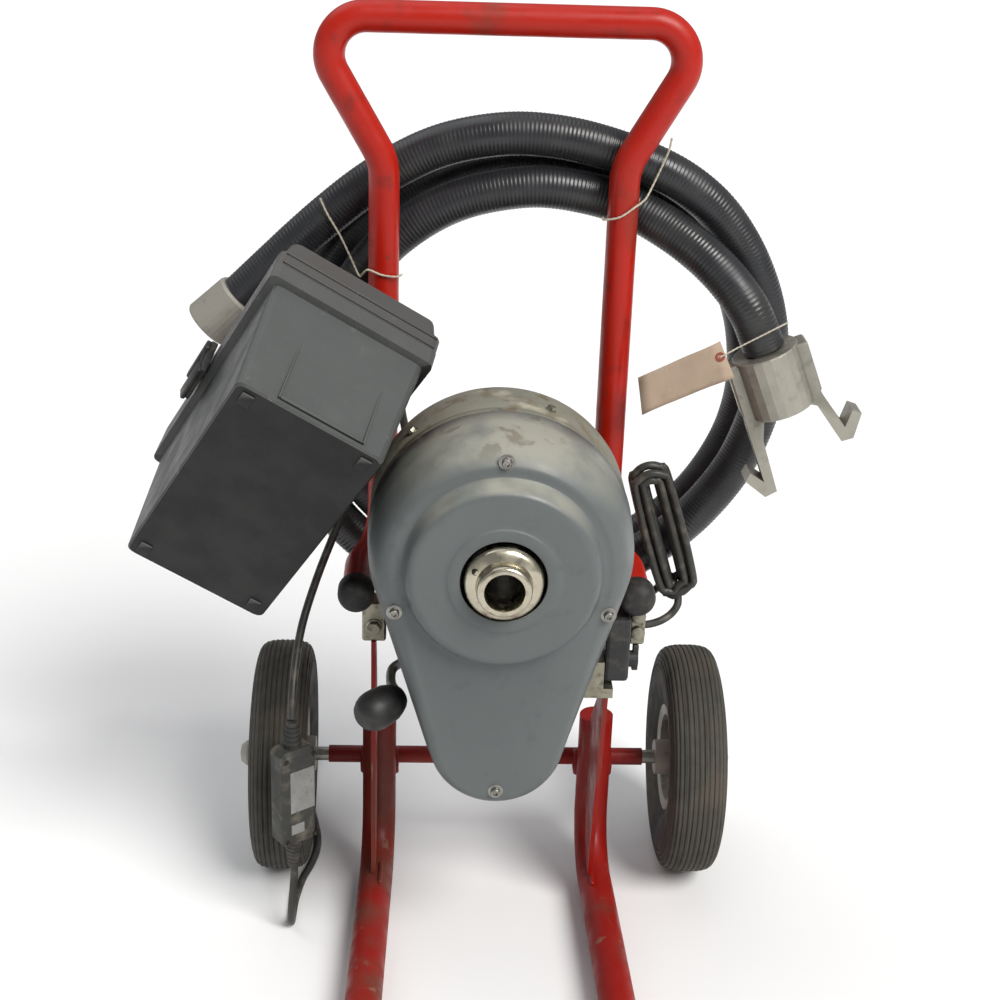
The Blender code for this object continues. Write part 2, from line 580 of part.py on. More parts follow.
# ---- guide hose ---------------------------------------------------------------------------------
def guide_hose():
    """The hose's coil as one ring, its free end, the ferrule at one end and the forked coupling."""
    mid_y, half = (COIL_FRONT + COIL_BACK) / 2, (COIL_BACK - COIL_FRONT) / 2
    c = 0.016
    profile = [(COIL_IN + c, half), (COIL_OUT - c, half), (COIL_OUT, half - c), (COIL_OUT, -half + c),
               (COIL_OUT - c, -half), (COIL_IN + c, -half), (COIL_IN, -half + c), (COIL_IN, half - c)]
    turned("guide_hose_coil", profile, "hose", at(COIL_X, mid_y, COIL_Z, FRONT), 40, True)

    away = Vector((-0.72, 0, -0.69)).normalized()
    start = Vector((-0.146, mid_y - 0.012, 0.793)) + away * 0.181
    turn = away.to_track_quat("Z", "Y").to_matrix().to_4x4()
    profile = [(BORE_R, 0.050), (0.0275, 0.050), (0.0290, 0.048), (0.0270, 0.003), (0.0255, 0), (BORE_R, 0)]
    turned("hose_ferrule", profile, "cast_aluminium", Matrix.Translation(start) @ turn, 32, True)

    fork = Vector((0.2900, -0.025, 0.6120))
    down = Vector((0.373, 0, -0.928))
    end = [(0.208, -0.0065, 0.744), (0.232, -0.009, 0.718), (0.254, -0.017, 0.691), fork - down * 0.060,
           fork - down * 0.048, fork - down * 0.0352]
    tube("guide_hose_end", smooth_route(end, 2), HOSE_R, "hose", 4)
    hose_fork(fork)


def hose_fork(centre):
    """The split clamp on the hose's end, with its two hooked arms that fit the studs of the rear flange."""
    down = Vector((0.373, 0, -0.928)).normalized()
    across = Vector((0.928, 0, 0.373)).normalized()
    frame = Matrix((across, down.cross(across), down)).transposed().to_4x4()
    frame.translation = centre
    half = 0.034
    profile = [(BORE_R, half), (0.0345, half), (0.036, half - 0.0015), (0.036, -half + 0.0015),
               (0.0345, -half), (BORE_R, -half)]
    fork = turned("hose_fork", profile, "cast_aluminium", frame, 24, True)
    right = [(0.0215, 0.012), (0.040, 0.010), (0.044, 0.036), (0.055, 0.074), (0.068, 0.058), (0.076, 0.065),
             (0.060, 0.089), (0.047, 0.088), (0.034, 0.040), (0.0225, 0.033)]
    left = [(0.0215, 0.012), (0.040, 0.010), (0.043, 0.045), (0.044, 0.104), (0.055, 0.089), (0.063, 0.096),
            (0.048, 0.121), (0.034, 0.119), (0.031, 0.058), (0.0225, 0.033)]
    for side, arm in ((-1, left), (1, right)):
        ear = box("clamp_ear", (0.016, 0.030, 0.058), "cast_aluminium",
                  frame @ at(side * 0.036, 0, -0.003), 0.002, 1)
        boolean(fork, ear, "UNION")
        hook = plate("fork_arm", [(side * x, z) for x, z in arm], -0.015, 0.015, "cast_aluminium",
                     frame @ FRONT)
        boolean(fork, hook, "UNION")


# ---- power cord ---------------------------------------------------------------------------------
def power_cord():
    """The cord from the switch box: its hank, its run behind the machine, and the tail with the plug."""
    lean = math.radians(-17)
    hank = Vector((0.1885, -0.002, 0.424))
    half_w, half_l = 0.0255, 0.0803
    outline = [(x, z + half_l - half_w) for x, z in arc(0, 0, half_w, 0, 180, 9)]
    outline += [(x, z - half_l + half_w) for x, z in arc(0, 0, half_w, 180, 360, 9)]
    plate("cord_hank", outline, -0.016, 0.016, "black_rubber",
          Matrix.Translation(hank) @ Matrix.Rotation(lean, 4, "Y") @ FRONT, 0.004)

    first = [(0.1272, -0.0830, 0.340), (0.1272, -0.068, 0.3395), (0.134, -0.050, 0.331),
             (0.156, -0.034, 0.322),
             (0.182, -0.018, 0.3165), (0.201, -0.007, 0.3205), (0.2113, -0.002, 0.3335), (0.2090, -0.002,
                                                                                          0.3460)]
    tube("cord_feed", smooth_route(first, 2), CORD_R, "black_rubber", 2)

    drop = [(0.1853, -0.002, 0.3539), (0.1751, -0.002, 0.3445), (0.159, -0.002, 0.336),
            (0.125, -0.012, 0.352),
            (0.080, -0.026, 0.392), (0.030, -0.034, 0.410), (-0.030, -0.036, 0.425), (-0.075, -0.036, 0.480),
            (-0.098, -0.032, 0.550), (-0.110, -0.0255, 0.620), (-0.124, -0.0225, 0.6480), (-0.1425,
                                                                                           -0.012, 0.6340),
            (-0.1475, 0.000, 0.580), (-0.1490, -0.004, 0.520), (-0.158, -0.026, 0.472), (-0.1725, -0.050,
                                                                                         0.436),
            (-0.190, -0.078, 0.395), (-0.2045, -0.108, 0.352), (-0.2105, -0.136, 0.312), (-0.2120,
                                                                                          -0.1550, 0.2860),
            (-0.2119, -0.1614, 0.2715)]
    tube("cord_run", smooth_route(drop, 2), CORD_R, "black_rubber", 2)

    tail = [(-0.2119, -0.1614, 0.0885), (-0.2125, -0.1622, 0.070), (-0.2150, -0.1630, 0.040),
            (-0.2165, -0.1600, 0.0160), (-0.2170, -0.1460, 0.0052), (-0.2160, -0.1100, 0.0046),
            (-0.2110, -0.0700, 0.0046), (-0.2030, -0.0400, 0.0046), (-0.1982, -0.0120, 0.0046),
            (-0.1982, 0.0160, 0.0046), (-0.2030, 0.0450, 0.0046), (-0.2100, 0.0800, 0.0046),
            (-0.2160, 0.1250, 0.0060), (-0.2210, 0.1600, 0.0110), (-0.2240, 0.1800, 0.0140)]
    tube("cord_tail", smooth_route(tail, 2), CORD_R, "black_rubber", 2)
    return Vector(tail[-1]), Vector(tail[-1]) - Vector(tail[-2])


def ground_fault_box():
    """The in-line switch box of the cord, with tapered reliefs at both ends and two push buttons."""
    centre = Vector((-0.2119, -0.1614, 0.1815))
    frame = Matrix.Translation(centre) @ Matrix.Rotation(math.radians(37), 4, "Z")
    body = box("gfci_body", (0.042, 0.030, 0.116), "black_plastic", frame, 0.005, 1)
    for sign, length, name in ((1, 0.030, "relief_top"), (-1, 0.034, "relief_bottom")):
        profile = [(0, length), (0.006, length), (0.0095, 0.004), (0.0095, -0.006), (0, -0.006)]
        end = Matrix() if sign > 0 else Matrix.Rotation(math.pi, 4, "X")
        relief = turned(name, profile, "black_rubber", frame @ at(0, 0, sign * 0.0575, end), 16)
        boolean(body, relief, "UNION")
    for name, z, mat in (("gfci_test_button", 0.020, "button_dark"),
                         ("gfci_reset_button", 0.004, "button_red")):
        spot = frame @ at(0, 0.015, z)
        pocket = box("pocket_" + name, (0.0186, 0.0106, 0.0106), mat, spot)
        boolean(body, pocket, "DIFFERENCE")
        box(name, (0.018, 0.005, 0.010), mat, spot @ at(0, 0.0003, 0), 0.0012, 1)


def power_plug(end, along):
    """A moulded three-pin plug that lies on the floor behind the left wheel."""
    flat = Vector((along.x, along.y, 0)).normalized()
    across = Vector((0, 0, 1)).cross(flat)
    frame = Matrix((across, Vector((0, 0, 1)), flat)).transposed().to_4x4()
    frame.translation = end + flat * 0.0008
    profile = [(0, 0.050), (0.012, 0.050), (0.0138, 0.047), (0.0138, 0.028), (0.0085, 0.018), (0.0062, 0),
               (0, 0)]
    body = turned("power_plug", profile, "black_rubber", frame, 20)
    for x, y, size in ((-0.006, 0.004, (0.0015, 0.0065, 0.020)), (0.006, 0.004, (0.0015, 0.0065, 0.020)),
                       (0, -0.006, (0.0048, 0.0048, 0.024))):
        pin = box("plug_pin", size, "steel", frame @ at(x, y, 0.049 + size[2] / 2 - 0.002))
        boolean(body, pin, "UNION")


def main():
    make_materials()
    handle_frame()
    for side, label in ((-1, "left"), (1, "right")):
        arm_caps(side, label)
        legs(side, label)
        wheel(side, label)
    axle()
    side_plate("side_plate_left", -LEG_X - 0.004, ARM_Y + 0.0145, ARM_Z - CLAMP_DROP - 0.0005, 0.026)
    side_plate("side_plate_right", LEG_X - 0.006, -0.145, 0.2997, 0.028)
    arm_clamps()
    guard_cover()
    guard_back()
    rear_housing()
    clutch(spindle())
    cover_screws()
    motor()
    belt()
    hose_flange()
    switch()
    toolbox()
    guide_hose()
    ground_fault_box()
    power_plug(*power_cord())


main()
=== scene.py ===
"""Looks of the drain snake machine: its materials and its detailed pieces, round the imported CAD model.

Metres, +Z up. Points are written in the machine's own frame, where the uprights stand in the plane y = 0,
and SHIFT takes them to the model's frame.
"""
import json
import math
import random

import bmesh
import bpy
import numpy as np
from mathutils import Matrix, Vector


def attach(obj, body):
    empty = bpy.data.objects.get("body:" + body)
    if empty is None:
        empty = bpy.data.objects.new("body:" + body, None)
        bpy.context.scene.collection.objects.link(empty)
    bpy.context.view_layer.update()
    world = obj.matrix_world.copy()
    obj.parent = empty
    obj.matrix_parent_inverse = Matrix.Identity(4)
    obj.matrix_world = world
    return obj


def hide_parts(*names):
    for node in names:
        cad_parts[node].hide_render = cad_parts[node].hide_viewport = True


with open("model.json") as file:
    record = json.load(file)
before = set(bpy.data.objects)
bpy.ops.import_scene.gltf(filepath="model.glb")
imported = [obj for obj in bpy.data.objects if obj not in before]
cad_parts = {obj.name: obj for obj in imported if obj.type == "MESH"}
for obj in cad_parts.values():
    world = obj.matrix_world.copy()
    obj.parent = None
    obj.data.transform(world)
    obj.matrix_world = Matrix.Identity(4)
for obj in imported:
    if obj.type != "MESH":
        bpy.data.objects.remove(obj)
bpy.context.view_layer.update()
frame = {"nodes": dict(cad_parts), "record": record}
NODES = frame["nodes"]
SHIFT = Vector((0.04014, 0.16615, 0))
PLACE = Matrix.Translation(SHIFT)
FRONT = Matrix.Rotation(math.pi / 2, 4, "X")       # a turned piece's +Z points to the front, -Y
SIDE = Matrix.Rotation(math.pi / 2, 4, "Y")        # a turned piece's +Z points to +X
TUBE_R, LEG_R, LEG_X = 0.0159, 0.01905, 0.1235
HUB_Z, GUARD_R, LOBE_R, LOBE_DROP = 0.488, 0.133, 0.0765, 0.1945
ARM_Z, ARM_X, ARM_Y = 0.412, 0.144, -0.1355
HUB = Matrix.Translation((0, 0, HUB_Z)) @ FRONT    # the spindle's axis, height counted to the front
random.seed(11)


# ---- camera and light ---------------------------------------------------------------------------
def srgb(r, g, b):
    """A linear colour from 8-bit display values."""
    return tuple(((c / 255 + 0.055) / 1.055) ** 2.4 if c > 10 else c / 3294.6 for c in (r, g, b)) + (1.0,)


def camera():
    yaw, pitch, roll = (math.radians(a) for a in (2.68, 23.09, 1.97))
    ahead = Vector((math.sin(yaw) * math.cos(pitch), math.cos(yaw) * math.cos(pitch), -math.sin(pitch)))
    level = Vector((math.cos(yaw), -math.sin(yaw), 0))
    up = level.cross(ahead)
    right = level * math.cos(roll) + up * math.sin(roll)
    above = up * math.cos(roll) - level * math.sin(roll)
    data = bpy.data.cameras.new("camera")
    data.lens, data.sensor_width, data.shift_y = 62.8, 36, 0.003
    cam = bpy.data.objects.new("camera", data)
    cam.matrix_world = Matrix.Translation(Vector((-0.076, -1.762, 1.205)) + SHIFT) @ Matrix(
        (right, above, -ahead)).transposed().to_4x4()
    bpy.context.scene.collection.objects.link(cam)
    bpy.context.scene.camera = cam


def light(name, toward, energy, spread, colour=(1, 1, 1)):
    """A distant soft lamp; toward is the direction to it."""
    data = bpy.data.lights.new(name, "SUN")
    data.angle, data.energy, data.color = math.radians(spread), energy, colour
    lamp = bpy.data.objects.new(name, data)
    lamp.location = (0, 0, 3)
    lamp.rotation_euler = (-Vector(toward)).to_track_quat("-Z", "Y").to_euler()
    bpy.context.scene.collection.objects.link(lamp)


def stage():
    world = bpy.data.worlds.new("studio")
    world.use_nodes = True
    world.node_tree.nodes["Background"].inputs["Color"].default_value = (0.97, 0.98, 1.0, 1)
    world.node_tree.nodes["Background"].inputs["Strength"].default_value = 0.34
    bpy.context.scene.world = world
    bpy.context.scene.view_settings.view_transform = "Standard"
    light("key", (0.50, -0.62, 0.80), 3.5, 30, (1.0, 0.985, 0.96))
    light("top", (-0.35, 0.30, 0.95), 0.9, 60, (0.97, 0.98, 1.0))
    mesh = bpy.data.meshes.new("floor")
    half = 30.0
    corners = [(-half, -half, 0), (half, -half, 0), (half, half, 0), (-half, half, 0)]
    mesh.from_pydata(corners, [], [(0, 1, 2, 3)])
    floor = bpy.data.objects.new("floor", mesh)
    bpy.context.scene.collection.objects.link(floor)
    p = Paint("floor_pale", 0.8)
    p.colour(p.mix(p.noise(0.8, 3), (0.80, 0.80, 0.80, 1), (0.84, 0.84, 0.84, 1)))
    mesh.materials.append(p.mat)


# ---- materials ----------------------------------------------------------------------------------
class Paint:
    """A node material, built up from noise, ramps and mixes."""

    def __init__(self, name, roughness, metallic=0.0, **sockets):
        self.mat = bpy.data.materials.new(name)
        self.mat.use_nodes = True
        self.tree = self.mat.node_tree
        self.shader = self.tree.nodes["Principled BSDF"]
        self.shader.inputs["Roughness"].default_value = roughness
        self.shader.inputs["Metallic"].default_value = metallic
        for socket, value in sockets.items():
            self.shader.inputs[socket.replace("_", " ")].default_value = value
        self.coords = self.tree.nodes.new("ShaderNodeTexCoord").outputs["Object"]
        self.seed = 0.0

    def link(self, a, b):
        self.tree.links.new(a, b)

    def noise(self, scale, detail=4.0, stretch=(1, 1, 1), rough=0.55, warp=0.0):
        self.seed += 3.7
        place = self.tree.nodes.new("ShaderNodeMapping")
        place.inputs["Scale"].default_value = stretch
        place.inputs["Location"].default_value = (self.seed, self.seed * 0.7, -self.seed)
        self.link(self.coords, place.inputs["Vector"])
        node = self.tree.nodes.new("ShaderNodeTexNoise")
        for socket, value in (("Scale", scale), ("Detail", detail), ("Roughness", rough), ("Distortion", warp)):
            node.inputs[socket].default_value = value
        self.link(place.outputs["Vector"], node.inputs["Vector"])
        return node.outputs["Fac"]

    def cells(self, scale, stretch=(1, 1, 1)):
        place = self.tree.nodes.new("ShaderNodeMapping")
        place.inputs["Scale"].default_value = stretch
        self.link(self.coords, place.inputs["Vector"])
        node = self.tree.nodes.new("ShaderNodeTexVoronoi")
        node.inputs["Scale"].default_value = scale
        self.link(place.outputs["Vector"], node.inputs["Vector"])
        return node.outputs["Distance"]

    def ramp(self, value, low, high, start=0.0, stop=1.0):
        node = self.tree.nodes.new("ShaderNodeMapRange")
        node.interpolation_type = "SMOOTHSTEP"
        for socket, number in (("From Min", low), ("From Max", high), ("To Min", start), ("To Max", stop)):
            node.inputs[socket].default_value = number
        self.link(value, node.inputs["Value"])
        return node.outputs["Result"]

    def times(self, a, b, operation="MULTIPLY"):
        node = self.tree.nodes.new("ShaderNodeMath")
        node.operation = operation
        for k, value in enumerate((a, b)):
            if isinstance(value, (int, float)):
                node.inputs[k].default_value = value
            else:
                self.link(value, node.inputs[k])
        return node.outputs["Value"]

    def mix(self, factor, a, b, blend="MIX"):
        node = self.tree.nodes.new("ShaderNodeMix")
        node.data_type, node.blend_type = "RGBA", blend
        for socket, value in ((node.inputs[0], factor), (node.inputs[6], a), (node.inputs[7], b)):
            if isinstance(value, (int, float, tuple)):
                socket.default_value = value
            else:
                self.link(value, socket)
        return node.outputs[2]

    def geometry(self, output):
        return self.tree.nodes.new("ShaderNodeNewGeometry").outputs[output]

    def edges(self, low=0.52, high=0.60):
        """Near 1 on sharp outer edges."""
        return self.ramp(self.geometry("Pointiness"), low, high)

    def up(self, low=0.25, high=0.95):
        """Near 1 on faces that look up."""
        split = self.tree.nodes.new("ShaderNodeSeparateXYZ")
        self.link(self.geometry("Normal"), split.inputs[0])
        return self.ramp(split.outputs["Z"], low, high)

    def colour(self, socket):
        self.link(socket, self.shader.inputs["Base Color"])

    def rough(self, socket):
        self.link(socket, self.shader.inputs["Roughness"])

    def metal(self, socket):
        self.link(socket, self.shader.inputs["Metallic"])

    def bump(self, height, distance, strength=1.0):
        node = self.tree.nodes.new("ShaderNodeBump")
        node.inputs["Strength"].default_value = strength
        node.inputs["Distance"].default_value = distance
        self.link(height, node.inputs["Height"])
        self.link(node.outputs["Normal"], self.shader.inputs["Normal"])


def red_paint():
    p = Paint("red_enamel", 0.36, Specular_IOR_Level=0.32, Coat_Weight=0.08, Coat_Roughness=0.25)
    tone = p.mix(p.noise(5, 4), srgb(176, 22, 1), srgb(152, 20, 2))
    tone = p.mix(p.ramp(p.noise(38, 6), 0.56, 0.74, 0, 0.55), tone, srgb(106, 24, 14))
    grime = p.times(p.ramp(p.noise(14, 6, (1, 1, 0.35)), 0.55, 0.70), 0.55)
    tone = p.mix(grime, tone, srgb(101, 45, 26))
    chips = p.times(p.ramp(p.noise(150, 3, (1, 1, 0.5)), 0.66, 0.71), p.ramp(p.noise(9, 3), 0.46, 0.62))
    worn = p.times(chips, p.times(p.edges(0.50, 0.56), 0.8, "ADD"), "MULTIPLY")
    p.colour(p.mix(worn, tone, srgb(74, 48, 32)))
    p.rough(p.ramp(p.noise(24, 5), 0.3, 0.75, 0.28, 0.56))
    p.bump(p.mix(0.2, p.noise(420, 3), p.ramp(chips, 0, 1, 1, 0)), 0.0004, 0.35)
    return p.mat


def leg_paint():
    """The lower frame's enamel: duller, with brown dust, and a painted grey sheen along its sides: painted reflection
    mixed with dust.
    """
    p = Paint("red_enamel_low", 0.45, Specular_IOR_Level=0.3)
    tone = p.mix(p.noise(6, 4), srgb(148, 19, 11), srgb(121, 20, 13))
    # painted sheen: grey-brown patches of painted reflection, mixed with dust
    dust_and_sheen = p.times(p.ramp(p.noise(7, 5, (1.2, 1.2, 0.35)), 0.50, 0.66), 0.75)
    tone = p.mix(dust_and_sheen, tone, srgb(97, 56, 43))
    scrapes = p.ramp(p.noise(70, 5, (1, 1, 0.14)), 0.60, 0.68)
    tone = p.mix(p.times(scrapes, p.ramp(p.noise(8, 2), 0.45, 0.6)), tone, srgb(126, 90, 73))
    p.colour(tone)
    p.rough(p.ramp(p.noise(30, 4), 0.3, 0.7, 0.36, 0.66))
    p.bump(p.noise(300, 3), 0.0004, 0.35)
    return p.mat


def grey_enamel():
    """The cover's enamel, with dust that has settled on what looks up."""
    p = Paint("grey_enamel", 0.42, Specular_IOR_Level=0.35, Coat_Weight=0.06, Coat_Roughness=0.3)
    tone = p.mix(p.noise(7, 3), srgb(87, 92, 92), srgb(93, 98, 98))
    tone = p.mix(p.ramp(p.noise(60, 6), 0.55, 0.75, 0, 0.35), tone, srgb(74, 78, 78))
    dust = p.times(p.up(0.30, 0.95), p.ramp(p.noise(16, 6), 0.30, 0.58, 0.35, 1.0))
    tone = p.mix(dust, tone, srgb(146, 145, 134))
    stain = p.times(p.ramp(p.noise(34, 6, warp=0.6), 0.56, 0.66), p.up(0.6, 1.0))
    tone = p.mix(p.times(stain, 0.55), tone, srgb(87, 77, 59))
    rub = p.times(p.ramp(p.noise(90, 4, (1, 1, 0.2)), 0.67, 0.72), p.ramp(p.noise(6, 2), 0.5, 0.62))
    p.colour(p.mix(p.times(rub, 0.5), tone, srgb(124, 127, 126)))
    p.rough(p.ramp(p.noise(26, 5), 0.3, 0.7, 0.36, 0.56))
    p.bump(p.noise(520, 3), 0.0003, 0.35)
    return p.mat


def cast(name, low, high, rough=(0.38, 0.62), metallic=0.85, grain=900):
    """Cast light alloy with a grainy skin and grey dirt in its texture."""
    p = Paint(name, 0.5, metallic)
    tone = p.mix(p.noise(22, 6), low, high)
    dirt = p.ramp(p.noise(75, 6), 0.52, 0.72, 0, 0.65)
    tone = p.mix(dirt, tone, tuple(c * 0.42 for c in low[:3]) + (1,))
    p.colour(p.mix(p.times(p.edges(0.51, 0.58), 0.5), tone, tuple(min(1, c * 1.5) for c in high[:3]) + (1,)))
    p.rough(p.ramp(p.noise(46, 5), 0.3, 0.7, *rough))
    p.bump(p.noise(grain, 4), 0.0005, 0.5)
    return p.mat


def drum_skin():
    """The drum's dirty beige skin, stained brown and grey on top."""
    p = Paint("dirty_casting", 0.6, 0.25)
    tone = p.mix(p.noise(9, 5), srgb(142, 139, 123), srgb(118, 118, 109))
    stain = p.ramp(p.noise(28, 6, warp=0.8), 0.50, 0.66, 0, 0.8)
    tone = p.mix(stain, tone, srgb(109, 95, 72))
    tone = p.mix(p.times(p.ramp(p.noise(60, 5), 0.6, 0.72), 0.7), tone, srgb(68, 66, 60))
    p.colour(p.mix(p.times(p.ramp(p.noise(18, 3), 0.56, 0.68), p.up()), tone, srgb(165, 161, 144)))
    p.rough(p.ramp(p.noise(30, 4), 0.3, 0.7, 0.5, 0.8))
    p.bump(p.noise(480, 5), 0.0006, 0.5)
    return p.mat


def metal(name, low, high, rough, brushed=(1, 1, 1), grime=0.4):
    p = Paint(name, 0.35, 1.0)
    tone = p.mix(p.noise(40, 5, brushed), low, high)
    dirt = p.ramp(p.noise(120, 5), 0.52, 0.72, 0, grime)
    p.colour(p.mix(dirt, tone, srgb(58, 52, 42)))
    p.rough(p.ramp(p.noise(85, 4, brushed), 0.3, 0.7, *rough))
    p.bump(p.noise(700, 3, brushed), 0.0002, 0.3)
    return p.mat


def rubber(name, low, high, rough=(0.5, 0.75), dust=0.35, grain=700, dust_colour=(96, 90, 78)):
    p = Paint(name, 0.65)
    tone = p.mix(p.noise(24, 5), low, high)
    haze = p.times(p.ramp(p.noise(60, 6), 0.48, 0.70), dust)
    p.colour(p.mix(haze, tone, srgb(*dust_colour)))
    p.rough(p.ramp(p.noise(48, 4), 0.3, 0.7, *rough))
    p.bump(p.noise(grain, 4), 0.0003, 0.45)
    return p.mat


def tyre_rubber():
    p = Paint("tyre_rubber", 0.85)
    tone = p.mix(p.noise(12, 5), srgb(57, 57, 51), srgb(44, 43, 40))
    brown = p.ramp(p.noise(9, 5, (1, 1, 1.0)), 0.46, 0.66, 0, 0.75)
    tone = p.mix(brown, tone, srgb(75, 67, 56))
    streaks = p.ramp(p.noise(120, 4, (1, 0.12, 0.12)), 0.52, 0.68, 0, 0.6)
    tone = p.mix(streaks, tone, srgb(33, 33, 30))
    p.colour(p.mix(p.times(p.edges(0.50, 0.55), 0.35), tone, srgb(98, 92, 80)))
    p.rough(p.ramp(p.noise(60, 4), 0.3, 0.7, 0.72, 0.95))
    p.bump(p.noise(380, 6), 0.0006, 0.6)
    return p.mat


def hose_skin():
    p = Paint("hose_skin", 0.34)
    tone = p.mix(p.noise(14, 4), srgb(38, 39, 42), srgb(29, 30, 33))
    dull = p.ramp(p.noise(18, 6), 0.46, 0.66, 0, 0.6)
    p.colour(p.mix(dull, tone, srgb(52, 52, 50)))
    p.rough(p.ramp(p.noise(20, 5), 0.35, 0.7, 0.27, 0.52))
    p.bump(p.noise(240, 4), 0.0003, 0.3)
    return p.mat


def box_plastic(name, low, high, scuff, roughness=(0.42, 0.60)):
    """Moulded plastic with a fine leather grain and pale scuffs, painted light on faces that look up and painted shade,
    near black, on faces that look down.
    """
    p = Paint(name, 0.5, Specular_IOR_Level=0.35)
    tone = p.mix(p.noise(6, 3), low, high)
    haze = p.ramp(p.noise(26, 6, warp=0.5), 0.50, 0.72, 0, 0.40)
    tone = p.mix(haze, tone, scuff)
    marks = p.times(p.ramp(p.noise(130, 4, (1, 0.25, 1)), 0.66, 0.70), p.ramp(p.noise(10, 2), 0.48, 0.6))
    tone = p.mix(p.times(marks, 0.5), tone, tuple(min(1, c * 2.2) for c in scuff[:3]) + (1,))
    # painted light: faces that look up are lightened to a paler copy of the base colour
    tone = p.mix(p.times(p.up(0.40, 0.85), 0.55), tone, tuple(min(1, c * 2.0) for c in high[:3]) + (1,))
    tone = p.mix(p.times(p.edges(0.51, 0.57), 0.4), tone, scuff)
    # painted shade: faces that look down are darkened to near black
    p.colour(p.mix(p.up(-0.15, -0.32), tone, srgb(13, 13, 13)))
    p.rough(p.ramp(p.noise(30, 4), 0.3, 0.7, *roughness))
    p.bump(p.cells(1100), 0.00025, 0.5)
    return p.mat


def twine_fibre():
    p = Paint("twine_fibre", 0.9)
    p.colour(p.mix(p.noise(700, 3), srgb(206, 200, 182), srgb(150, 142, 124)))
    p.bump(p.noise(1600, 3, (1, 1, 3)), 0.0004, 0.8)
    return p.mat


def paper():
    """A manila tag, creased and stained, with no writing on it."""
    p = Paint("manila", 0.85)
    tone = p.mix(p.noise(50, 6), srgb(171, 152, 133), srgb(157, 136, 117))
    tone = p.mix(p.ramp(p.noise(22, 5, warp=0.4), 0.55, 0.72, 0, 0.55), tone, srgb(125, 98, 80))
    p.colour(p.mix(p.ramp(p.noise(900, 2, (1, 1, 0.1)), 0.55, 0.8, 0, 0.35), tone, srgb(182, 170, 152)))
    p.bump(p.noise(60, 5), 0.0008, 0.6)
    return p.mat


def foil():
    """A blank foil label, creased, with its print worn away."""
    p = Paint("label_foil", 0.42, 0.35)
    tone = p.mix(p.noise(60, 5, warp=0.7), srgb(150, 150, 147), srgb(112, 112, 110))
    p.colour(p.mix(p.ramp(p.noise(200, 4), 0.58, 0.72, 0, 0.5), tone, srgb(74, 74, 73)))
    p.rough(p.ramp(p.noise(120, 3), 0.3, 0.7, 0.3, 0.55))
    p.bump(p.noise(130, 5), 0.0004, 0.5)
    return p.mat


def all_materials():
    return {
        "red_paint": red_paint(), "leg_paint": leg_paint(), "grey_cover": grey_enamel(), "drum": drum_skin(),
        "cast_aluminium": cast("cast_alloy", srgb(126, 123, 113), srgb(156, 153, 143)),
        "ferrule": cast("dull_alloy", srgb(120, 118, 109), srgb(138, 134, 126), (0.5, 0.7), 0.45),
        "zinc": metal("zinc_plate", srgb(135, 131, 115), srgb(164, 160, 144), (0.34, 0.6), grime=0.6),
        "nickel": metal("nickel_plate", srgb(170, 162, 142), srgb(204, 198, 180), (0.16, 0.36), grime=0.25),
        "steel": metal("machined_steel", srgb(128, 126, 120), srgb(168, 166, 160), (0.28, 0.5), (1, 6, 1)),
        "dark_steel": metal("blackened_steel", srgb(50, 48, 45), srgb(72, 70, 66), (0.4, 0.6)),
        "wheel_rim": cast("rim_enamel", srgb(120, 118, 110), srgb(150, 148, 140), (0.45, 0.65), 0.1),
        "motor_paint": rubber("motor_enamel", srgb(34, 34, 35), srgb(46, 46, 47), (0.35, 0.55), 0.5),
        "black_rubber": rubber("black_rubber", srgb(30, 30, 31), srgb(22, 22, 23), (0.5, 0.72), 0.25),
        "grip": rubber("grip_rubber", srgb(24, 24, 24), srgb(17, 17, 18), (0.45, 0.62), 0.10),
        "black_plastic": rubber("black_moulding", srgb(34, 34, 34), srgb(27, 27, 28), (0.42, 0.6), 0.35),
        "gfci": rubber("dusty_moulding", srgb(48, 48, 44), srgb(38, 38, 35), (0.5, 0.7), 0.7),
        "cord": rubber("cord_sheath", srgb(50, 50, 46), srgb(36, 36, 34), (0.36, 0.6), 0.5),
        "button_dark": rubber("dark_button", srgb(40, 40, 60), srgb(34, 34, 50), (0.4, 0.6), 0.3),
        "button_red": rubber("red_button", srgb(150, 24, 22), srgb(120, 20, 18), (0.4, 0.6), 0.3),
        "tyre": tyre_rubber(), "hose": hose_skin(),
        "box_plastic": box_plastic("box_shell", srgb(55, 57, 56), srgb(61, 64, 63), srgb(79, 79, 76)),
        "lid_plastic": box_plastic("lid_shell", srgb(52, 52, 52), srgb(61, 61, 60), srgb(76, 74, 72)),
        "twine": twine_fibre(), "paper": paper(), "foil": foil(),
        "red_ring": rubber("tag_eyelet", srgb(150, 70, 52), srgb(126, 56, 42), (0.6, 0.8), 0.2),
    }


MATS = {}


# ---- mesh helpers -------------------------------------------------------------------------------
def add(obj, mat, body="machine", replaces=(), smooth=35):
    """Links a piece, gives it its material and its body, and hides the CAD nodes that it stands for."""
    if obj.name not in bpy.context.scene.collection.objects:
        bpy.context.scene.collection.objects.link(obj)
    obj.data.materials.clear()
    obj.data.materials.append(MATS[mat])
    if obj.type == "MESH" and smooth:
        obj.data.shade_smooth()
        obj.data.set_sharp_from_angle(angle=math.radians(smooth))
    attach(obj, body)
    if replaces:
        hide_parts(*replaces)
    return obj


def from_bmesh(name, bm, matrix=None):
    bmesh.ops.recalc_face_normals(bm, faces=bm.faces)
    mesh = bpy.data.meshes.new(name)
    bm.to_mesh(mesh)
    bm.free()
    mesh.transform(PLACE @ (matrix or Matrix()))
    return bpy.data.objects.new(name, mesh)


def bridge(bm, loops):
    count = len(loops[0])
    for low, high in zip(loops, loops[1:]):
        for k in range(count):
            bm.faces.new((low[k], low[(k + 1) % count], high[(k + 1) % count], high[k]))


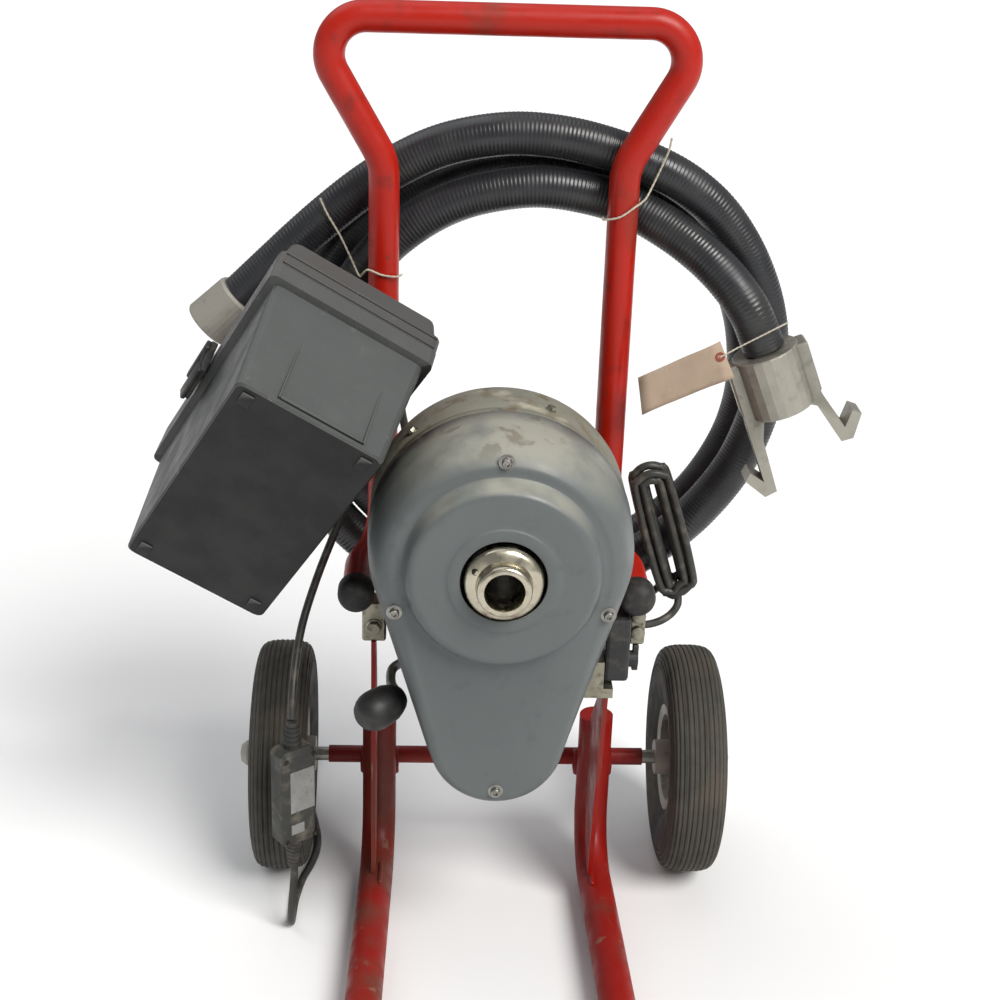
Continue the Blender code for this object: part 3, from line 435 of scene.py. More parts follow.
def turned(name, profile, matrix, steps=96, closed=True, bm=None):
    """A turned piece from (radius, height) pairs; an open profile starts and ends on the axis."""
    own = bm is None
    bm = bm or bmesh.new()
    rings = []
    for r, h in profile:
        if r == 0:
            rings.append([bm.verts.new(matrix @ Vector((0, 0, h)))])
            continue
        rings.append([bm.verts.new(matrix @ Vector((r * math.cos(a), r * math.sin(a), h)))
                      for a in (2 * math.pi * k / steps for k in range(steps))])
    pairs = list(zip(rings, rings[1:]))
    if closed and profile[0][0]:
        pairs.append((rings[-1], rings[0]))
    for low, high in pairs:
        for k in range(steps):
            quad = [low[k % len(low)], low[(k + 1) % len(low)], high[(k + 1) % len(high)], high[k % len(high)]]
            quad = list(dict.fromkeys(quad))
            if len(quad) > 2:
                bm.faces.new(quad)
    return from_bmesh(name, bm) if own else None


def block(bm, size, matrix, bevel=0.0, segments=2):
    """A block with rounded edges, added to bm."""
    made = bmesh.ops.create_cube(bm, size=1)["verts"]
    bmesh.ops.scale(bm, vec=size, verts=made)
    if bevel:
        edges = list({e for v in made for e in v.link_edges})
        out = bmesh.ops.bevel(bm, geom=edges, offset=bevel, segments=segments, profile=0.5, affect="EDGES")
        made = out["verts"]
    bmesh.ops.transform(bm, matrix=matrix, verts=made)


def hex_bolt(bm, matrix, across=0.013, height=0.0055, washer=0.009):
    """A washer and a hexagon head that stand on the matrix's XY plane, added to bm."""
    turned("", [(0, 0), (washer, 0), (washer, 0.0012), (washer - 0.0006, 0.0016), (0, 0.0016)], matrix, 28, False, bm)
    r = across / 2 / math.cos(math.pi / 6)
    lift = matrix @ Matrix.Translation((0, 0, 0.0014))
    turned("", [(0, 0), (r, 0), (r, height - 0.0008), (r * 0.90, height), (r * 0.55, height), (0, height - 0.0003)],
           lift, 6, False, bm)


def arc(cx, cy, radius, start, stop, count):
    step = (stop - start) / (count - 1)
    angles = [math.radians(start + step * i) for i in range(count)]
    return [(cx + radius * math.cos(a), cy + radius * math.sin(a)) for a in angles]


def filleted(points, radii, step=4):
    """Rounds the corners of a polyline; one arc point for about every step degrees."""
    out = [Vector(points[0])]
    for prev, corner, nxt, radius in zip(points, points[1:], points[2:], radii):
        corner, a, b = Vector(corner), Vector(prev) - Vector(corner), Vector(nxt) - Vector(corner)
        a.normalize()
        b.normalize()
        half = a.angle(b) / 2
        centre = corner + (a + b).normalized() * (radius / math.sin(half))
        start, stop = corner + a * (radius / math.tan(half)) - centre, corner + b * (radius / math.tan(half)) - centre
        turn = math.pi - 2 * half
        count = max(3, round(math.degrees(turn) / step))
        out += [centre + (start * math.sin((1 - i / count) * turn) + stop * math.sin(i / count * turn)) / math.sin(turn)
                for i in range(count + 1)]
    out.append(Vector(points[-1]))
    return out


def smooth_route(points, per_leg):
    """A Catmull-Rom curve through the route's points."""
    pts = [Vector(p) for p in points]
    pts = [2 * pts[0] - pts[1]] + pts + [2 * pts[-1] - pts[-2]]
    out = []
    for p0, p1, p2, p3 in zip(pts, pts[1:], pts[2:], pts[3:]):
        for i in range(per_leg):
            t = i / per_leg
            out.append(0.5 * ((2 * p1) + (p2 - p0) * t + (2 * p0 - 5 * p1 + 4 * p2 - p3) * t ** 2
                              + (3 * p1 - p0 - 3 * p2 + p3) * t ** 3))
    out.append(pts[-2])
    return out


def resampled(points, spacing):
    """Points on the polyline at an even spacing, and its length."""
    line = np.array([tuple(p) for p in points])
    along = np.r_[0, np.cumsum(np.linalg.norm(np.diff(line, axis=0), axis=1))]
    count = max(2, round(along[-1] / spacing) + 1)
    s = np.linspace(0, along[-1], count)
    return np.stack([np.interp(s, along, line[:, k]) for k in range(3)], axis=1), along[-1]


def swept(name, line, radii, sides, flat=1.0):
    """A mesh tube along evenly spaced points, with a radius for each and closed ends."""
    tangent = np.gradient(line, axis=0)
    tangent /= np.linalg.norm(tangent, axis=1)[:, None]
    normal = np.cross(tangent[0], (0.2, 1.0, 0.1))
    normal /= np.linalg.norm(normal)
    ring = np.arange(sides) * 2 * math.pi / sides
    verts = []
    for p, t, r in zip(line, tangent, radii):
        normal = normal - t * np.dot(normal, t)
        normal /= np.linalg.norm(normal)
        other = np.cross(t, normal)
        verts.append(p + r * (np.cos(ring)[:, None] * normal + flat * np.sin(ring)[:, None] * other))
    verts = np.concatenate(verts) + np.array(SHIFT)
    n = len(line)
    k = np.arange(sides)
    base = (np.arange(n - 1) * sides)[:, None]
    quads = np.stack([base + k, base + (k + 1) % sides, base + sides + (k + 1) % sides, base + sides + k], axis=2)
    faces = quads.reshape(-1, 4).tolist() + [list(range(sides))[::-1], list(range((n - 1) * sides, n * sides))]
    mesh = bpy.data.meshes.new(name)
    mesh.from_pydata(verts.tolist(), [], faces)
    return bpy.data.objects.new(name, mesh)


# ---- guide hose and cords -----------------------------------------------------------------------
HOSE_R, HOSE_PITCH, HOSE_RIB = 0.0225, 0.0042, 0.00045
HOSE_ROUTE_MM = """
-277 52 668  -245 53 699  -213 53 730  -180 52 760  -146 51 788  -109 49 813  -69 47 833  -27 44 845
17 43 850  62 42 847  105 41 838  147 41 824  187 41 805  223 41 778  251 41 744  273 40 705  288 40 663
295 40 620  295 41 575  286 41 532  270 40 490  247 40 452  219 40 418  186 40 388  149 41 364  108 41 345
65 41 334  21 42 329  -23 43 331  -67 46 340  -108 50 357  -145 55 380  -177 61 411  -202 67 447
-219 72 488  -227 78 531  -226 82 575  -218 86 619  -202 88 660  -181 89 699  -155 90 735  -123 90 765
-86 90 791  -46 90 810  -3 89 821  42 89 823  86 89 817  128 90 805  168 90 786  204 90 759  234 90 726
257 90 688  273 89 647  281 89 603  282 89 559  274 90 515  257 90 474  233 90 436  203 90 404  168 89 376
129 89 356  86 88 343  42 87 340  -2 85 346  -44 83 361  -82 78 383  -116 73 411  -145 68 445  -166 63 483
-180 58 525  -185 53 569  -182 49 613  -170 46 656  -149 43 695  -122 42 729  -87 41 758  -48 41 779
-6 41 791  39 41 796  83 42 791  126 41 780  165 28 763  200 10 743  232 -8 717  258 -22 685  277 -25 645
"""
CORD_R, CORD_LENGTH, TAIL_LENGTH = 0.0044, 3.12, 0.42
FEED = [(0.1272, -0.0830, 0.340), (0.1272, -0.068, 0.3395), (0.134, -0.050, 0.331), (0.156, -0.034, 0.322),
        (0.182, -0.018, 0.3165), (0.201, -0.007, 0.3205), (0.2113, -0.002, 0.3335), (0.2090, -0.002, 0.3460)]
RUN = [(0.1853, -0.002, 0.3539), (0.1751, -0.002, 0.3445), (0.159, -0.002, 0.336), (0.125, -0.012, 0.352),
       (0.080, -0.026, 0.392), (0.030, -0.034, 0.410), (-0.030, -0.036, 0.425), (-0.075, -0.036, 0.480),
       (-0.098, -0.032, 0.550), (-0.110, -0.0255, 0.620), (-0.124, -0.0225, 0.6480), (-0.1425, -0.012, 0.6340),
       (-0.1475, 0.000, 0.580), (-0.1490, -0.004, 0.520), (-0.158, -0.026, 0.472), (-0.1725, -0.050, 0.436),
       (-0.190, -0.078, 0.395), (-0.2045, -0.108, 0.352), (-0.2105, -0.136, 0.312), (-0.2120, -0.155, 0.286),
       (-0.2119, -0.1614, 0.2715)]
TAIL = [(-0.2119, -0.1614, 0.0885), (-0.2125, -0.1622, 0.070), (-0.2150, -0.1630, 0.040),
        (-0.2165, -0.1600, 0.0160), (-0.2170, -0.1460, 0.0052), (-0.2160, -0.1100, 0.0046),
        (-0.2110, -0.0700, 0.0046), (-0.2030, -0.0400, 0.0046), (-0.1982, -0.0120, 0.0046),
        (-0.1982, 0.0160, 0.0046), (-0.2030, 0.0450, 0.0046), (-0.2100, 0.0800, 0.0046),
        (-0.2160, 0.1250, 0.0060), (-0.2210, 0.1600, 0.0110), (-0.2240, 0.1800, 0.0140)]
HANK_AT, HANK_LEAN = Vector((0.1885, -0.002, 0.424)), math.radians(17)


def guide_hose():
    """The ribbed hose in its whole length: from its ferrule, round two and a half turns, into the coupling."""
    route = [Vector([float(v) / 1000 for v in p]) for p in np.array(HOSE_ROUTE_MM.split(), float).reshape(-1, 3)]
    line, length = resampled(smooth_route(route, 10), HOSE_PITCH / 4)
    phase = np.arange(len(line)) * 2 * math.pi / 4
    radii = HOSE_R - HOSE_RIB * (1 - np.cos(phase)) / 2
    hose = add(swept("guide_hose", line, radii, 32), "hose",
               replaces=["guide_hose_coil", "guide_hose_end"], smooth=60)


def hank_turns():
    """The cord's six turns in its hank: three wide ones from back to front, then three narrow ones back again."""
    up = Vector((-math.sin(HANK_LEAN), 0, math.cos(HANK_LEAN)))
    out = Vector((math.cos(HANK_LEAN), 0, math.sin(HANK_LEAN)))
    turns = [(0.0203, 0.0093, 0.0765), (0.0178, 0.0, 0.0800), (0.0202, -0.0093, 0.0742), (0.0106, -0.0093, 0.0660),
             (0.0068, 0.0002, 0.0705), (0.0112, 0.0093, 0.0630)]
    points = []
    for n, (half, depth, length) in enumerate(turns):
        nxt = turns[min(n + 1, len(turns) - 1)]
        for k in range(16):
            t = k / 16
            w = half + (nxt[0] - half) * max(0, t - 0.8) * 5
            y = depth + (nxt[1] - depth) * max(0, t - 0.8) * 5
            angle = -0.5 * math.pi + 2 * math.pi * t
            rise = (length - w) * (1 if 0 < math.sin(angle) else -1) * min(1, abs(math.sin(angle)) * 4)
            points.append(HANK_AT + out * (w * math.cos(angle)) + up * (rise + w * math.sin(angle))
                          + Vector((0.0008 * math.sin(3 * n + 5 * t), y, 0)))
    return points


def power_cord():
    """The cord from the switch box through its hank to the in-line switch, and the tail that runs to the plug."""
    turns = hank_turns()
    out_of_hank = [HANK_AT + Vector((0.008, 0.0150, -0.066)), HANK_AT + Vector((0.0, 0.0120, -0.0765))]
    points = smooth_route(FEED[:-1] + turns + out_of_hank + RUN[1:], 4)
    line, length = resampled(points, 0.0035)
    cord = add(swept("power_cord", line, np.full(len(line), CORD_R), 14), "cord",
               replaces=["cord_feed", "cord_hank", "cord_run"], smooth=60)
    line, length = resampled(smooth_route(TAIL, 8), 0.003)
    tail = add(swept("cord_tail_end", line, np.full(len(line), CORD_R), 14), "cord",
               replaces=["cord_tail"], smooth=60)


def twine(name, points, radius=0.0011):
    """A twisted twine along the route."""
    line, length = resampled(smooth_route(points, 8), radius * 0.9)
    wave = radius * (1 + 0.14 * np.sin(np.arange(len(line)) * 1.1))
    obj = add(swept(name, line, wave, 8), "twine", smooth=80)


# ---- detailed pieces ----------------------------------------------------------------------------
def at(x, y, z, turn=None):
    return Matrix.Translation((x, y, z)) @ (turn or Matrix())


def bar(name, corners, radii, radius, mat, replaces):
    """A smooth round bar through the corners, in the place of a coarser CAD tube."""
    line, _ = resampled(filleted(corners, radii, 3), 0.004)
    add(swept(name, line, np.full(len(line), radius), 40), mat, replaces=replaces, smooth=60)


def frame_tubes():
    half = [(0.205, 0, 0.9697), (0.1226, 0, 0.827), (0.1226, 0, ARM_Z), (ARM_X, -0.075, ARM_Z),
            (ARM_X, ARM_Y, ARM_Z)]
    corners = [(-x, y, z) for x, y, z in reversed(half)] + half
    bar("frame_tube", corners, [0.06, 0.036, 0.06, 0.0373, 0.0373, 0.06, 0.036, 0.06], TUBE_R, "red_paint",
        ["handle_frame"])
    for side, label in ((-1, "left"), (1, "right")):
        x = side * LEG_X
        bar("leg_tube_" + label, [(x, -0.03, 0.205), (x, -0.03, 0.0245), (x * 1.09, -0.43, 0.0245)], [0.062], LEG_R,
            "leg_paint", ["leg_" + label])
        bm = bmesh.new()
        for outward in (1, -1):
            weld_x = x + outward * (LEG_R * 0.93 + 0.0010)
            for k in range(26):
                a = 2 * math.pi * k / 26
                wobble = 0.0022 + 0.0005 * random.random()
                spot = Vector((weld_x, -0.012 + 0.0125 * math.cos(a), 0.132 + 0.0125 * math.sin(a)))
                bmesh.ops.create_icosphere(bm, subdivisions=2, radius=wobble + 0.001,
                                           matrix=Matrix.Translation(spot))
        add(from_bmesh("axle_weld_" + label, bm), "leg_paint", smooth=60)
        bm = bmesh.new()
        for k in range(22):
            spot = Vector((x - side * 0.0042, -0.094 - 0.0016 * k, 0.0435 + 0.0004 * random.random()))
            bmesh.ops.create_icosphere(bm, subdivisions=2, radius=0.0024 + 0.0004 * random.random(),
                                       matrix=Matrix.Translation(spot))
        add(from_bmesh("plate_weld_" + label, bm), "leg_paint", smooth=60)


def tread_profile():
    """The tyre's outline with a groove every 5.5 mm across its crown."""
    half = [(0.062, 0.024), (0.071, 0.0272), (0.080, 0.029), (0.092, 0.0311), (0.104, 0.032), (0.112, 0.0318),
            (0.118, 0.0305), (0.1230, 0.0288), (0.1265, 0.0265), (0.1292, 0.0229), (0.1305, 0.019), (0.1316, 0.0135),
            (0.132, 0.008), (0.132, 0)]
    outline = [(r, h) for r, h in half] + [(r, -h) for r, h in reversed(half[:-1])]
    line, length = resampled([(r, h, 0) for r, h in outline], 0.00075)
    out = []
    for k, (r, h, _) in enumerate(line):
        along = k * length / (len(line) - 1)
        from_crown = abs(along - length / 2)
        dip = 0.0
        if from_crown < 0.050:
            beat = (from_crown % 0.0056) / 0.0056
            dip = 0.0013 if 0.38 < beat < 0.62 else (0.0006 if 0.30 < beat < 0.70 else 0.0)
        prev, nxt = line[max(k - 1, 0)], line[min(k + 1, len(line) - 1)]
        t = (nxt - prev) / np.linalg.norm(nxt - prev)
        out.append((r - dip * abs(t[1]), h - dip * abs(t[0]) * (1 if h > 0 else -1)))
    return out


def wheels():
    for side, label in ((-1, "left"), (1, "right")):
        outward = SIDE if side > 0 else Matrix.Rotation(-math.pi / 2, 4, "Y")
        place = at(side * 0.234, 0, 0.132, outward)
        add(turned("ribbed_tyre_" + label, tread_profile(), place, 128), "tyre", "wheel_" + label,
            replaces=["tyre_" + label], smooth=50)
        bm = bmesh.new()
        for k in range(4):
            a = math.radians(45 + 90 * k)
            hex_bolt(bm, place @ at(0.034 * math.cos(a), 0.034 * math.sin(a), 0.0110), 0.011, 0.006, 0.0075)
        turned("", [(0, 0.034), (0.0026, 0.034), (0.0032, 0.033), (0.0032, 0.016), (0.0, 0.016)],
               place @ at(0.047, 0.0, 0), 20, False, bm)
        add(from_bmesh("rim_bolts_" + label, bm), "zinc", "wheel_" + label)


def teardrop(main_r, lobe_r, count=96):
    """The belt guard's outline: a large circle and a smaller one below it, joined by their tangents."""
    lean = math.degrees(math.asin((main_r - lobe_r) / LOBE_DROP))
    main = arc(0, 0, main_r, -lean, 180 + lean, count)
    return main + arc(0, -LOBE_DROP, lobe_r, 180 + lean, 360 - lean, count // 2)


def step_circle(radius, count=96):
    lobe = count // 2
    part = 150 / (lobe + 1)
    return arc(0, 0, radius, -15, 195, count) + arc(0, 0, radius, 195 + part, 345 - part, lobe)


def cover():
    """The pressed cover with its rounded shoulder, its raised round step and its screws."""
    walls = [(-0.1653, 0, 0), (-0.190, 0.0012, 0.0012), (-0.2105, 0.0026, 0.0026), (-0.2135, 0.0034, 0.0034),
             (-0.2260, 0.0066, 0.0058), (-0.2360, 0.0105, 0.0078), (-0.2430, 0.0145, 0.0092), (-0.2475, 0.0190, 0.0112),
             (-0.2503, 0.0228, 0.0138), (-0.2517, 0.0255, 0.0165), (-0.2520, 0.0280, 0.0200)]
    sections = [(y, teardrop(GUARD_R - a, LOBE_R - b)) for y, a, b in walls]
    step = [(0.0995, -0.2524), (0.0985, -0.2532), (0.0965, -0.2560), (0.0945, -0.2612), (0.0925, -0.2665),
            (0.0900, -0.2700), (0.0868, -0.2716), (0.0830, -0.2720), (0.0600, -0.2720), (0.0555, -0.2721),
            (0.0538, -0.2733), (0.0525, -0.2740), (0.0440, -0.2740), (0.0422, -0.2737), (0.0416, -0.2728)]
    sections += [(y, step_circle(radius)) for radius, y in step]
    bm = bmesh.new()
    bridge(bm, [[bm.verts.new((x, y, z + HUB_Z)) for x, z in points] for y, points in sections])
    obj = from_bmesh("cover_shell", bm)
    solid = obj.modifiers.new("wall", "SOLIDIFY")
    solid.thickness, solid.offset = 0.0028, -1
    add(obj, "grey_cover", replaces=["belt_guard_cover"], smooth=40)
    head = [(0, 0.0030), (0.0022, 0.0032), (0.0026, 0.0056), (0.0040, 0.0058), (0.0048, 0.0050), (0.005, 0.0042),
            (0.005, 0), (0, 0)]
    spots = {"top": (0.0, 0.1135, 0.2512), "left": (-0.104, -0.044, 0.2520), "right": (0.104, -0.044, 0.2520),
             "bottom": (0.0, -LOBE_DROP - 0.0503, 0.2522)}
    for label, (x, z, depth) in spots.items():
        bm = bmesh.new()
        turned("", head, at(x, -depth, HUB_Z + z, FRONT), 40, False, bm)
        turned("", [(0, 0), (0.0078, 0), (0.0078, 0.0009), (0.0070, 0.0013), (0, 0.0013)],
               at(x, -depth + 0.0005, HUB_Z + z, FRONT), 40, False, bm)
        add(from_bmesh("socket_screw_" + label, bm), "steel", replaces=["cover_screw_" + label])


def drum():
    """The drum behind the cover with its rolled edge, and the small screws on its rim."""
    r = 0.1325
    profile = [(r - 0.004, 0.1607), (r, 0.1607), (r, 0.154), (r - 0.0008, 0.153), (r - 0.0008, 0.149), (r, 0.148),
               (r, 0.098), (r - 0.0012, 0.090), (r - 0.0042, 0.084), (r - 0.0098, 0.0787), (r - 0.016, 0.0757),
               (r - 0.021, 0.075), (0.034, 0.075), (0.034, 0.079), (r - 0.022, 0.079), (r - 0.010, 0.088),
               (r - 0.004, 0.099)]
    add(turned("drum_shell", profile, HUB, 144), "drum", replaces=["rear_housing"], smooth=40)
    bm = bmesh.new()
    for degrees in (21, 118, 200, 318):
        a = math.radians(90 - degrees)
        out = Vector((math.cos(a), 0, math.sin(a)))
        turn = out.to_track_quat("Z", "Y").to_matrix().to_4x4()
        foot = Vector((0, -0.135, HUB_Z)) + out * (r - 0.0006)
        hex_bolt(bm, Matrix.Translation(foot) @ turn, 0.008, 0.0038, 0.0055)
    add(from_bmesh("drum_screws", bm), "zinc")


def hub():
    """The spindle's nickel hub with its bore, its rounded dome and its grub screw's hole."""
    front = 0.283
    profile = [(0.019, front + 0.0142), (0.0196, front + 0.015), (0.0228, front + 0.015), (0.0250, front + 0.0140),
               (0.0262, front + 0.0118), (0.0265, front + 0.008), (0.0266, front + 0.0035), (0.0275, front + 0.0016),
               (0.0300, front + 0.0008), (0.0335, front - 0.0004), (0.0362, front - 0.0023), (0.0378, front - 0.0052),
               (0.0384, front - 0.010), (0.0385, front - 0.016), (0.0385, front - 0.024), (0.0253, front - 0.024),
               (0.0253, 0.2625), (0.019, 0.2625)]
    add(turned("hub_dome", profile, HUB, 144), "nickel", "spindle", replaces=["front_hub"], smooth=40)
    bm = bmesh.new()
    turned("", [(0, 0.0002), (0.0021, 0.0002), (0.0030, 0.0010), (0.0034, 0.0004), (0.0034, -0.003), (0, -0.003)],
           at(-0.0278, -0.2832, HUB_Z + 0.0148, FRONT), 28, False, bm)
    add(from_bmesh("hub_grub_screw", bm), "dark_steel", "spindle")


def arm_ends():
    """Moulded caps on the arms' ends, the hex bolt of the left hanger, and the two zinc nuts of the right one."""
    profile = [(0, 0.0245), (0.0080, 0.0244), (0.0125, 0.0236), (0.0155, 0.0218), (0.0176, 0.0190), (0.0188, 0.0150),
               (0.0190, 0.0110), (0.0190, 0.0008), (0.0184, 0), (0, 0)]
    for side, label in ((-1, "left"), (1, "right")):
        add(turned("arm_end_" + label, profile, at(side * 0.1452, ARM_Y - 0.0003, ARM_Z, FRONT), 64, False),
            "black_rubber", replaces=["arm_cap_" + label], smooth=50)
    bm = bmesh.new()
    hex_bolt(bm, at(-0.127, -0.1341, 0.368, FRONT), 0.0125, 0.0060, 0.0085)
    add(from_bmesh("hanger_bolt_left", bm), "zinc")
    bm = bmesh.new()
    for z in (0.3835, 0.3645):
        turned("", [(0, 0.0050), (0.0045, 0.0048), (0.0070, 0.0036), (0.0080, 0.0016), (0.0080, 0), (0, 0)],
               at(0.1495, -0.1340, z, FRONT), 36, False, bm)
    add(from_bmesh("hanger_nuts_right", bm), "zinc")


def clutch_handle():
    """The clutch lever's rod, bent round the guard's edge, and its smooth rubber ball grip."""
    profile = [(0, 0.056), (0.0050, 0.0556), (0.0100, 0.0542), (0.0145, 0.0510), (0.0180, 0.0460), (0.0201, 0.0405),
               (0.0208, 0.0350), (0.0206, 0.0260), (0.0195, 0.0170), (0.0170, 0.0100), (0.0140, 0.0040), (0.0115, 0.0010),
               (0.0090, 0), (0, 0)]
    along = Vector((-0.70, -0.68, -0.10)).normalized()
    turn = along.to_track_quat("Z", "Y").to_matrix().to_4x4()
    pivot = Vector((-0.078, -0.150, 0.345))
    start = pivot + Vector((-0.0200, -0.0466, -0.0240))
    rod = [(0.003, -0.0035, 0), (-0.014, -0.0035, -0.006), (-0.0285, -0.0075, -0.014), (-0.030, -0.024, -0.021),
           (-0.0245, -0.038, -0.0235)]
    line, _ = resampled(smooth_route([pivot + Vector(p) for p in rod] + [start - along * 0.0005], 10), 0.0015)
    add(swept("clutch_rod", line, np.full(len(line), 0.0050), 24), "steel", "clutch_handle",
        replaces=["clutch_lever"], smooth=60)
    add(turned("ball_grip", profile, Matrix.Translation(start) @ turn, 64, False), "grip", "clutch_handle",
        replaces=["clutch_grip"], smooth=60)


def box_frame():
    z = Vector((0.191, 0.916, 0.354)).normalized()
    y = z.cross(Vector((0.864, 0.014, -0.503))).normalized()
    turn = Matrix((y.cross(z), y, z)).transposed().to_4x4()
    return Matrix.Translation((-0.2404, -0.2516, 0.5513)) @ turn


def toolbox_details():
    """Raised panels and a ledge on the box's end, feet on its bottom, and the deck and band on its lid."""
    place = box_frame()
    width, length, height, low = 0.150, 0.272, 0.156, 0.1563
    bm = bmesh.new()
    for sign in (-1, 1):
        for x in (-0.036, 0.050):
            block(bm, (0.0022, 0.0016, height - 0.034),
                  place @ at(x, sign * (length / 2 + 0.0029), height / 2 - 0.012), 0.0007)
        block(bm, (0.084, 0.0034, 0.0042), place @ at(0.007, sign * (length / 2 + 0.0016), 0.0075), 0.0012)
        block(bm, (0.084, 0.0018, 0.0022), place @ at(0.007, sign * (length / 2 + 0.0045), height - 0.034), 0.0008)
    for x in (-0.060, 0.060):
        block(bm, (0.012, 0.015, 0.0020), place @ at(x, -0.121, -0.0009), 0.0008)
        block(bm, (0.012, 0.015, 0.0020), place @ at(x, 0.121, -0.0009), 0.0008)
    add(from_bmesh("toolbox_mouldings", bm), "box_plastic", smooth=30)
    bm = bmesh.new()
    deck = [(0.0, 0.1270), (0.0022, 0.1255), (0.0034, 0.1225)]
    rings = []
    for rise, half_y in deck:
        half_x = half_y - 0.066
        points = []
        for sx, sy, start in ((1, 1, 0), (-1, 1, 90), (-1, -1, 180), (1, -1, 270)):
            points += arc(sx * (half_x - 0.010), sy * (half_y - 0.014), 0.010, start, start + 90, 8)
        rings.append([bm.verts.new(place @ Vector((x, y, low + 0.0536 + rise))) for x, y in points])
    bridge(bm, rings)
    bm.faces.new(rings[-1])
    bm.faces.new(rings[0][::-1])
    for sign in (-1, 1):
        for rise in (0.0030, 0.0165):
            block(bm, (width + 0.0150, 0.0016, 0.0030), place @ at(0, sign * (length / 2 + 0.0136), low + rise), 0.0007)
    add(from_bmesh("lid_mouldings", bm), "lid_plastic", "box_lid", smooth=30)
    bm = bmesh.new()
    x = -0.0938
    block(bm, (0.0072, 0.046, 0.0440), place @ at(x, 0.016, 0.1485), 0.0014)
    block(bm, (0.0060, 0.050, 0.0110), place @ at(x - 0.0052, 0.016, 0.1610), 0.0016)
    block(bm, (0.0050, 0.046, 0.0120), place @ at(x - 0.0040, 0.016, 0.1290) @ Matrix.Rotation(-0.3, 4, "Y"), 0.0014)
    for y in (-0.0150, 0.0150):
        block(bm, (0.0028, 0.0036, 0.024), place @ at(x - 0.0044, 0.016 + y, 0.146), 0.001)
    add(from_bmesh("latch_clip", bm), "black_plastic", "box_latch", replaces=["toolbox_latch"], smooth=30)


def gfci_details():
    """Blank labels and screws on the in-line switch's front faces."""
    place = at(-0.2119, -0.1614, 0.1815, Matrix.Rotation(math.radians(37), 4, "Z"))
    bm = bmesh.new()
    block(bm, (0.0300, 0.0004, 0.0500), place @ at(0.0025, -0.01515, 0.010), 0.0001, 1)
    block(bm, (0.0160, 0.0004, 0.0120), place @ at(-0.0040, -0.01515, -0.036), 0.0001, 1)
    add(from_bmesh("blank_labels", bm), "foil", smooth=30)
    bm = bmesh.new()
    for x, z in ((-0.0170, 0.050), (0.0170, 0.050), (-0.0170, -0.050), (0.0170, -0.050)):
        turned("", [(0, 0.0008), (0.0011, 0.0009), (0.0016, 0.0014), (0.0026, 0.0010), (0.0028, 0), (0, 0)],
               place @ at(x, -0.0149, z, FRONT), 24, False, bm)
    add(from_bmesh("inline_switch_screws", bm), "dark_steel")
    bm = bmesh.new()
    for sign, count in ((1, 5), (-1, 6)):
        for k in range(count):
            z = sign * (0.0615 + 0.0050 * k)
            r = 0.0099 - 0.0006 * k
            turned("", [(r - 0.0024, -0.0011), (r, -0.0011), (r + 0.0004, 0), (r, 0.0011), (r - 0.0024, 0.0011)],
                   place @ at(0, 0, z), 32, True, bm)
    add(from_bmesh("relief_ribs", bm), "black_rubber", smooth=40)


def tag():
    """The blank manila tag with its eyelet."""
    steps = 8
    bm = bmesh.new()
    grid = []
    for i in range(steps + 1):
        row = []
        for j in range(steps + 1):
            s, t = i / steps, j / steps
            low_edge = Vector((0.1498, 0, 0.5778)).lerp(Vector((0.2431, 0, 0.6217)), s)
            high_edge = Vector((0.1431, 0, 0.6180)).lerp(Vector((0.2250, 0, 0.6610)), s)
            p = low_edge.lerp(high_edge, t)
            p.y = -0.052 + 0.0022 * math.sin(4.0 * s + 1.1 * t) + 0.0007 * math.sin(11 * s - 5 * t)
            row.append(bm.verts.new(p))
        grid.append(row)
    for a, b in zip(grid, grid[1:]):
        for j in range(steps):
            bm.faces.new((a[j], a[j + 1], b[j + 1], b[j]))
    obj = from_bmesh("blank_tag", bm)
    solid = obj.modifiers.new("thickness", "SOLIDIFY")
    solid.thickness = 0.0005
    add(obj, "paper", smooth=60)
    bm = bmesh.new()
    turned("", [(0.0022, -0.0006), (0.0052, -0.0006), (0.0052, 0.0006), (0.0022, 0.0006)],
           at(0.2262, -0.0535, 0.6440, FRONT), 32, True, bm)
    add(from_bmesh("tag_eyelet", bm), "red_ring", smooth=40)


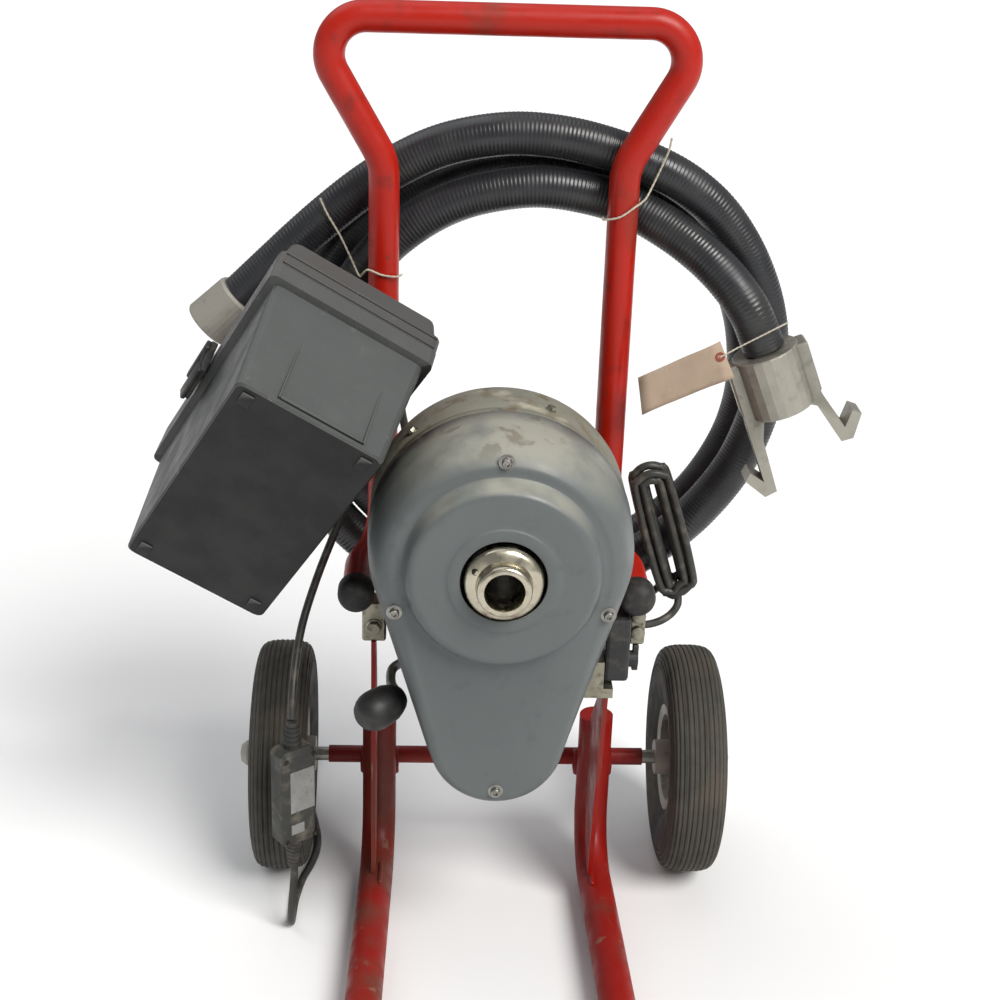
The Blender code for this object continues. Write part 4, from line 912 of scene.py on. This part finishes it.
def strings():
    """The twines that tie the hose to the handle, and the tag's string."""
    twine("hose_twine_left", [(-0.1895, 0.027, 0.7812), (-0.1813, 0.0265, 0.7635), (-0.169, 0.026, 0.7426),
                              (-0.1565, 0.020, 0.7182), (-0.1482, 0.004, 0.7060), (-0.1440, -0.010, 0.7120),
                              (-0.1380, -0.0165, 0.7180), (-0.1238, -0.0178, 0.7131), (-0.1094, -0.0165, 0.7113),
                              (-0.1035, -0.006, 0.7110)])
    twine("hose_twine_right", [(0.170, 0.014, 0.8548), (0.167, 0.0145, 0.8394), (0.1555, 0.0145, 0.8102),
                               (0.1470, 0.006, 0.795), (0.1400, -0.0100, 0.7930), (0.1338, -0.0160, 0.7901),
                               (0.1181, -0.0178, 0.7794), (0.103, -0.0120, 0.7749), (0.1025, 0.000, 0.7740)])
    twine("tag_string", [(0.2262, -0.0545, 0.6440), (0.2360, -0.0530, 0.6490), (0.2475, -0.0500, 0.6547),
                         (0.2673, -0.0500, 0.6659), (0.2822, -0.0485, 0.6738), (0.2960, -0.0420, 0.6790)], 0.0009)


# ---- assembly -----------------------------------------------------------------------------------
SOFT_EDGES = {"hose_fork": 0.0018, "switch_box": 0.001, "toolbox_latch": 0.001, "arm_clamp_left": 0.001,
              "arm_clamp_right": 0.001, "side_plate_left": 0.0008, "side_plate_right": 0.0008, "hose_ferrule": 0.001}


def cad_looks():
    """Gives every CAD node that shows its own node material."""
    special = {"leg_left": "leg_paint", "leg_right": "leg_paint", "axle_tube": "leg_paint",
               "side_plate_left": "leg_paint", "side_plate_right": "leg_paint", "rear_housing": "drum",
               "belt_guard_back": "drum", "hose_ferrule": "ferrule",
               "clutch_grip": "grip", "gfci_body": "gfci", "toolbox_lid": "lid_plastic"}
    slots = {s["node"]: s["material_slot"] for s in frame["record"]["subparts"]}
    for name, obj in NODES.items():
        obj.data.materials.clear()
        obj.data.materials.append(MATS[special.get(name, slots[name])])
        obj.data.shade_smooth()
        obj.data.set_sharp_from_angle(angle=math.radians(38))
        if name in SOFT_EDGES:
            soft = obj.modifiers.new("soft_edges", "BEVEL")
            soft.width, soft.segments, soft.limit_method = SOFT_EDGES[name], 2, "ANGLE"
            soft.angle_limit, soft.use_clamp_overlap = math.radians(40), True


camera()
MATS.update(all_materials())
stage()
cad_looks()
guide_hose()
power_cord()
frame_tubes()
wheels()
cover()
drum()
hub()
arm_ends()
clutch_handle()
toolbox_details()
gfci_details()
tag()
strings()
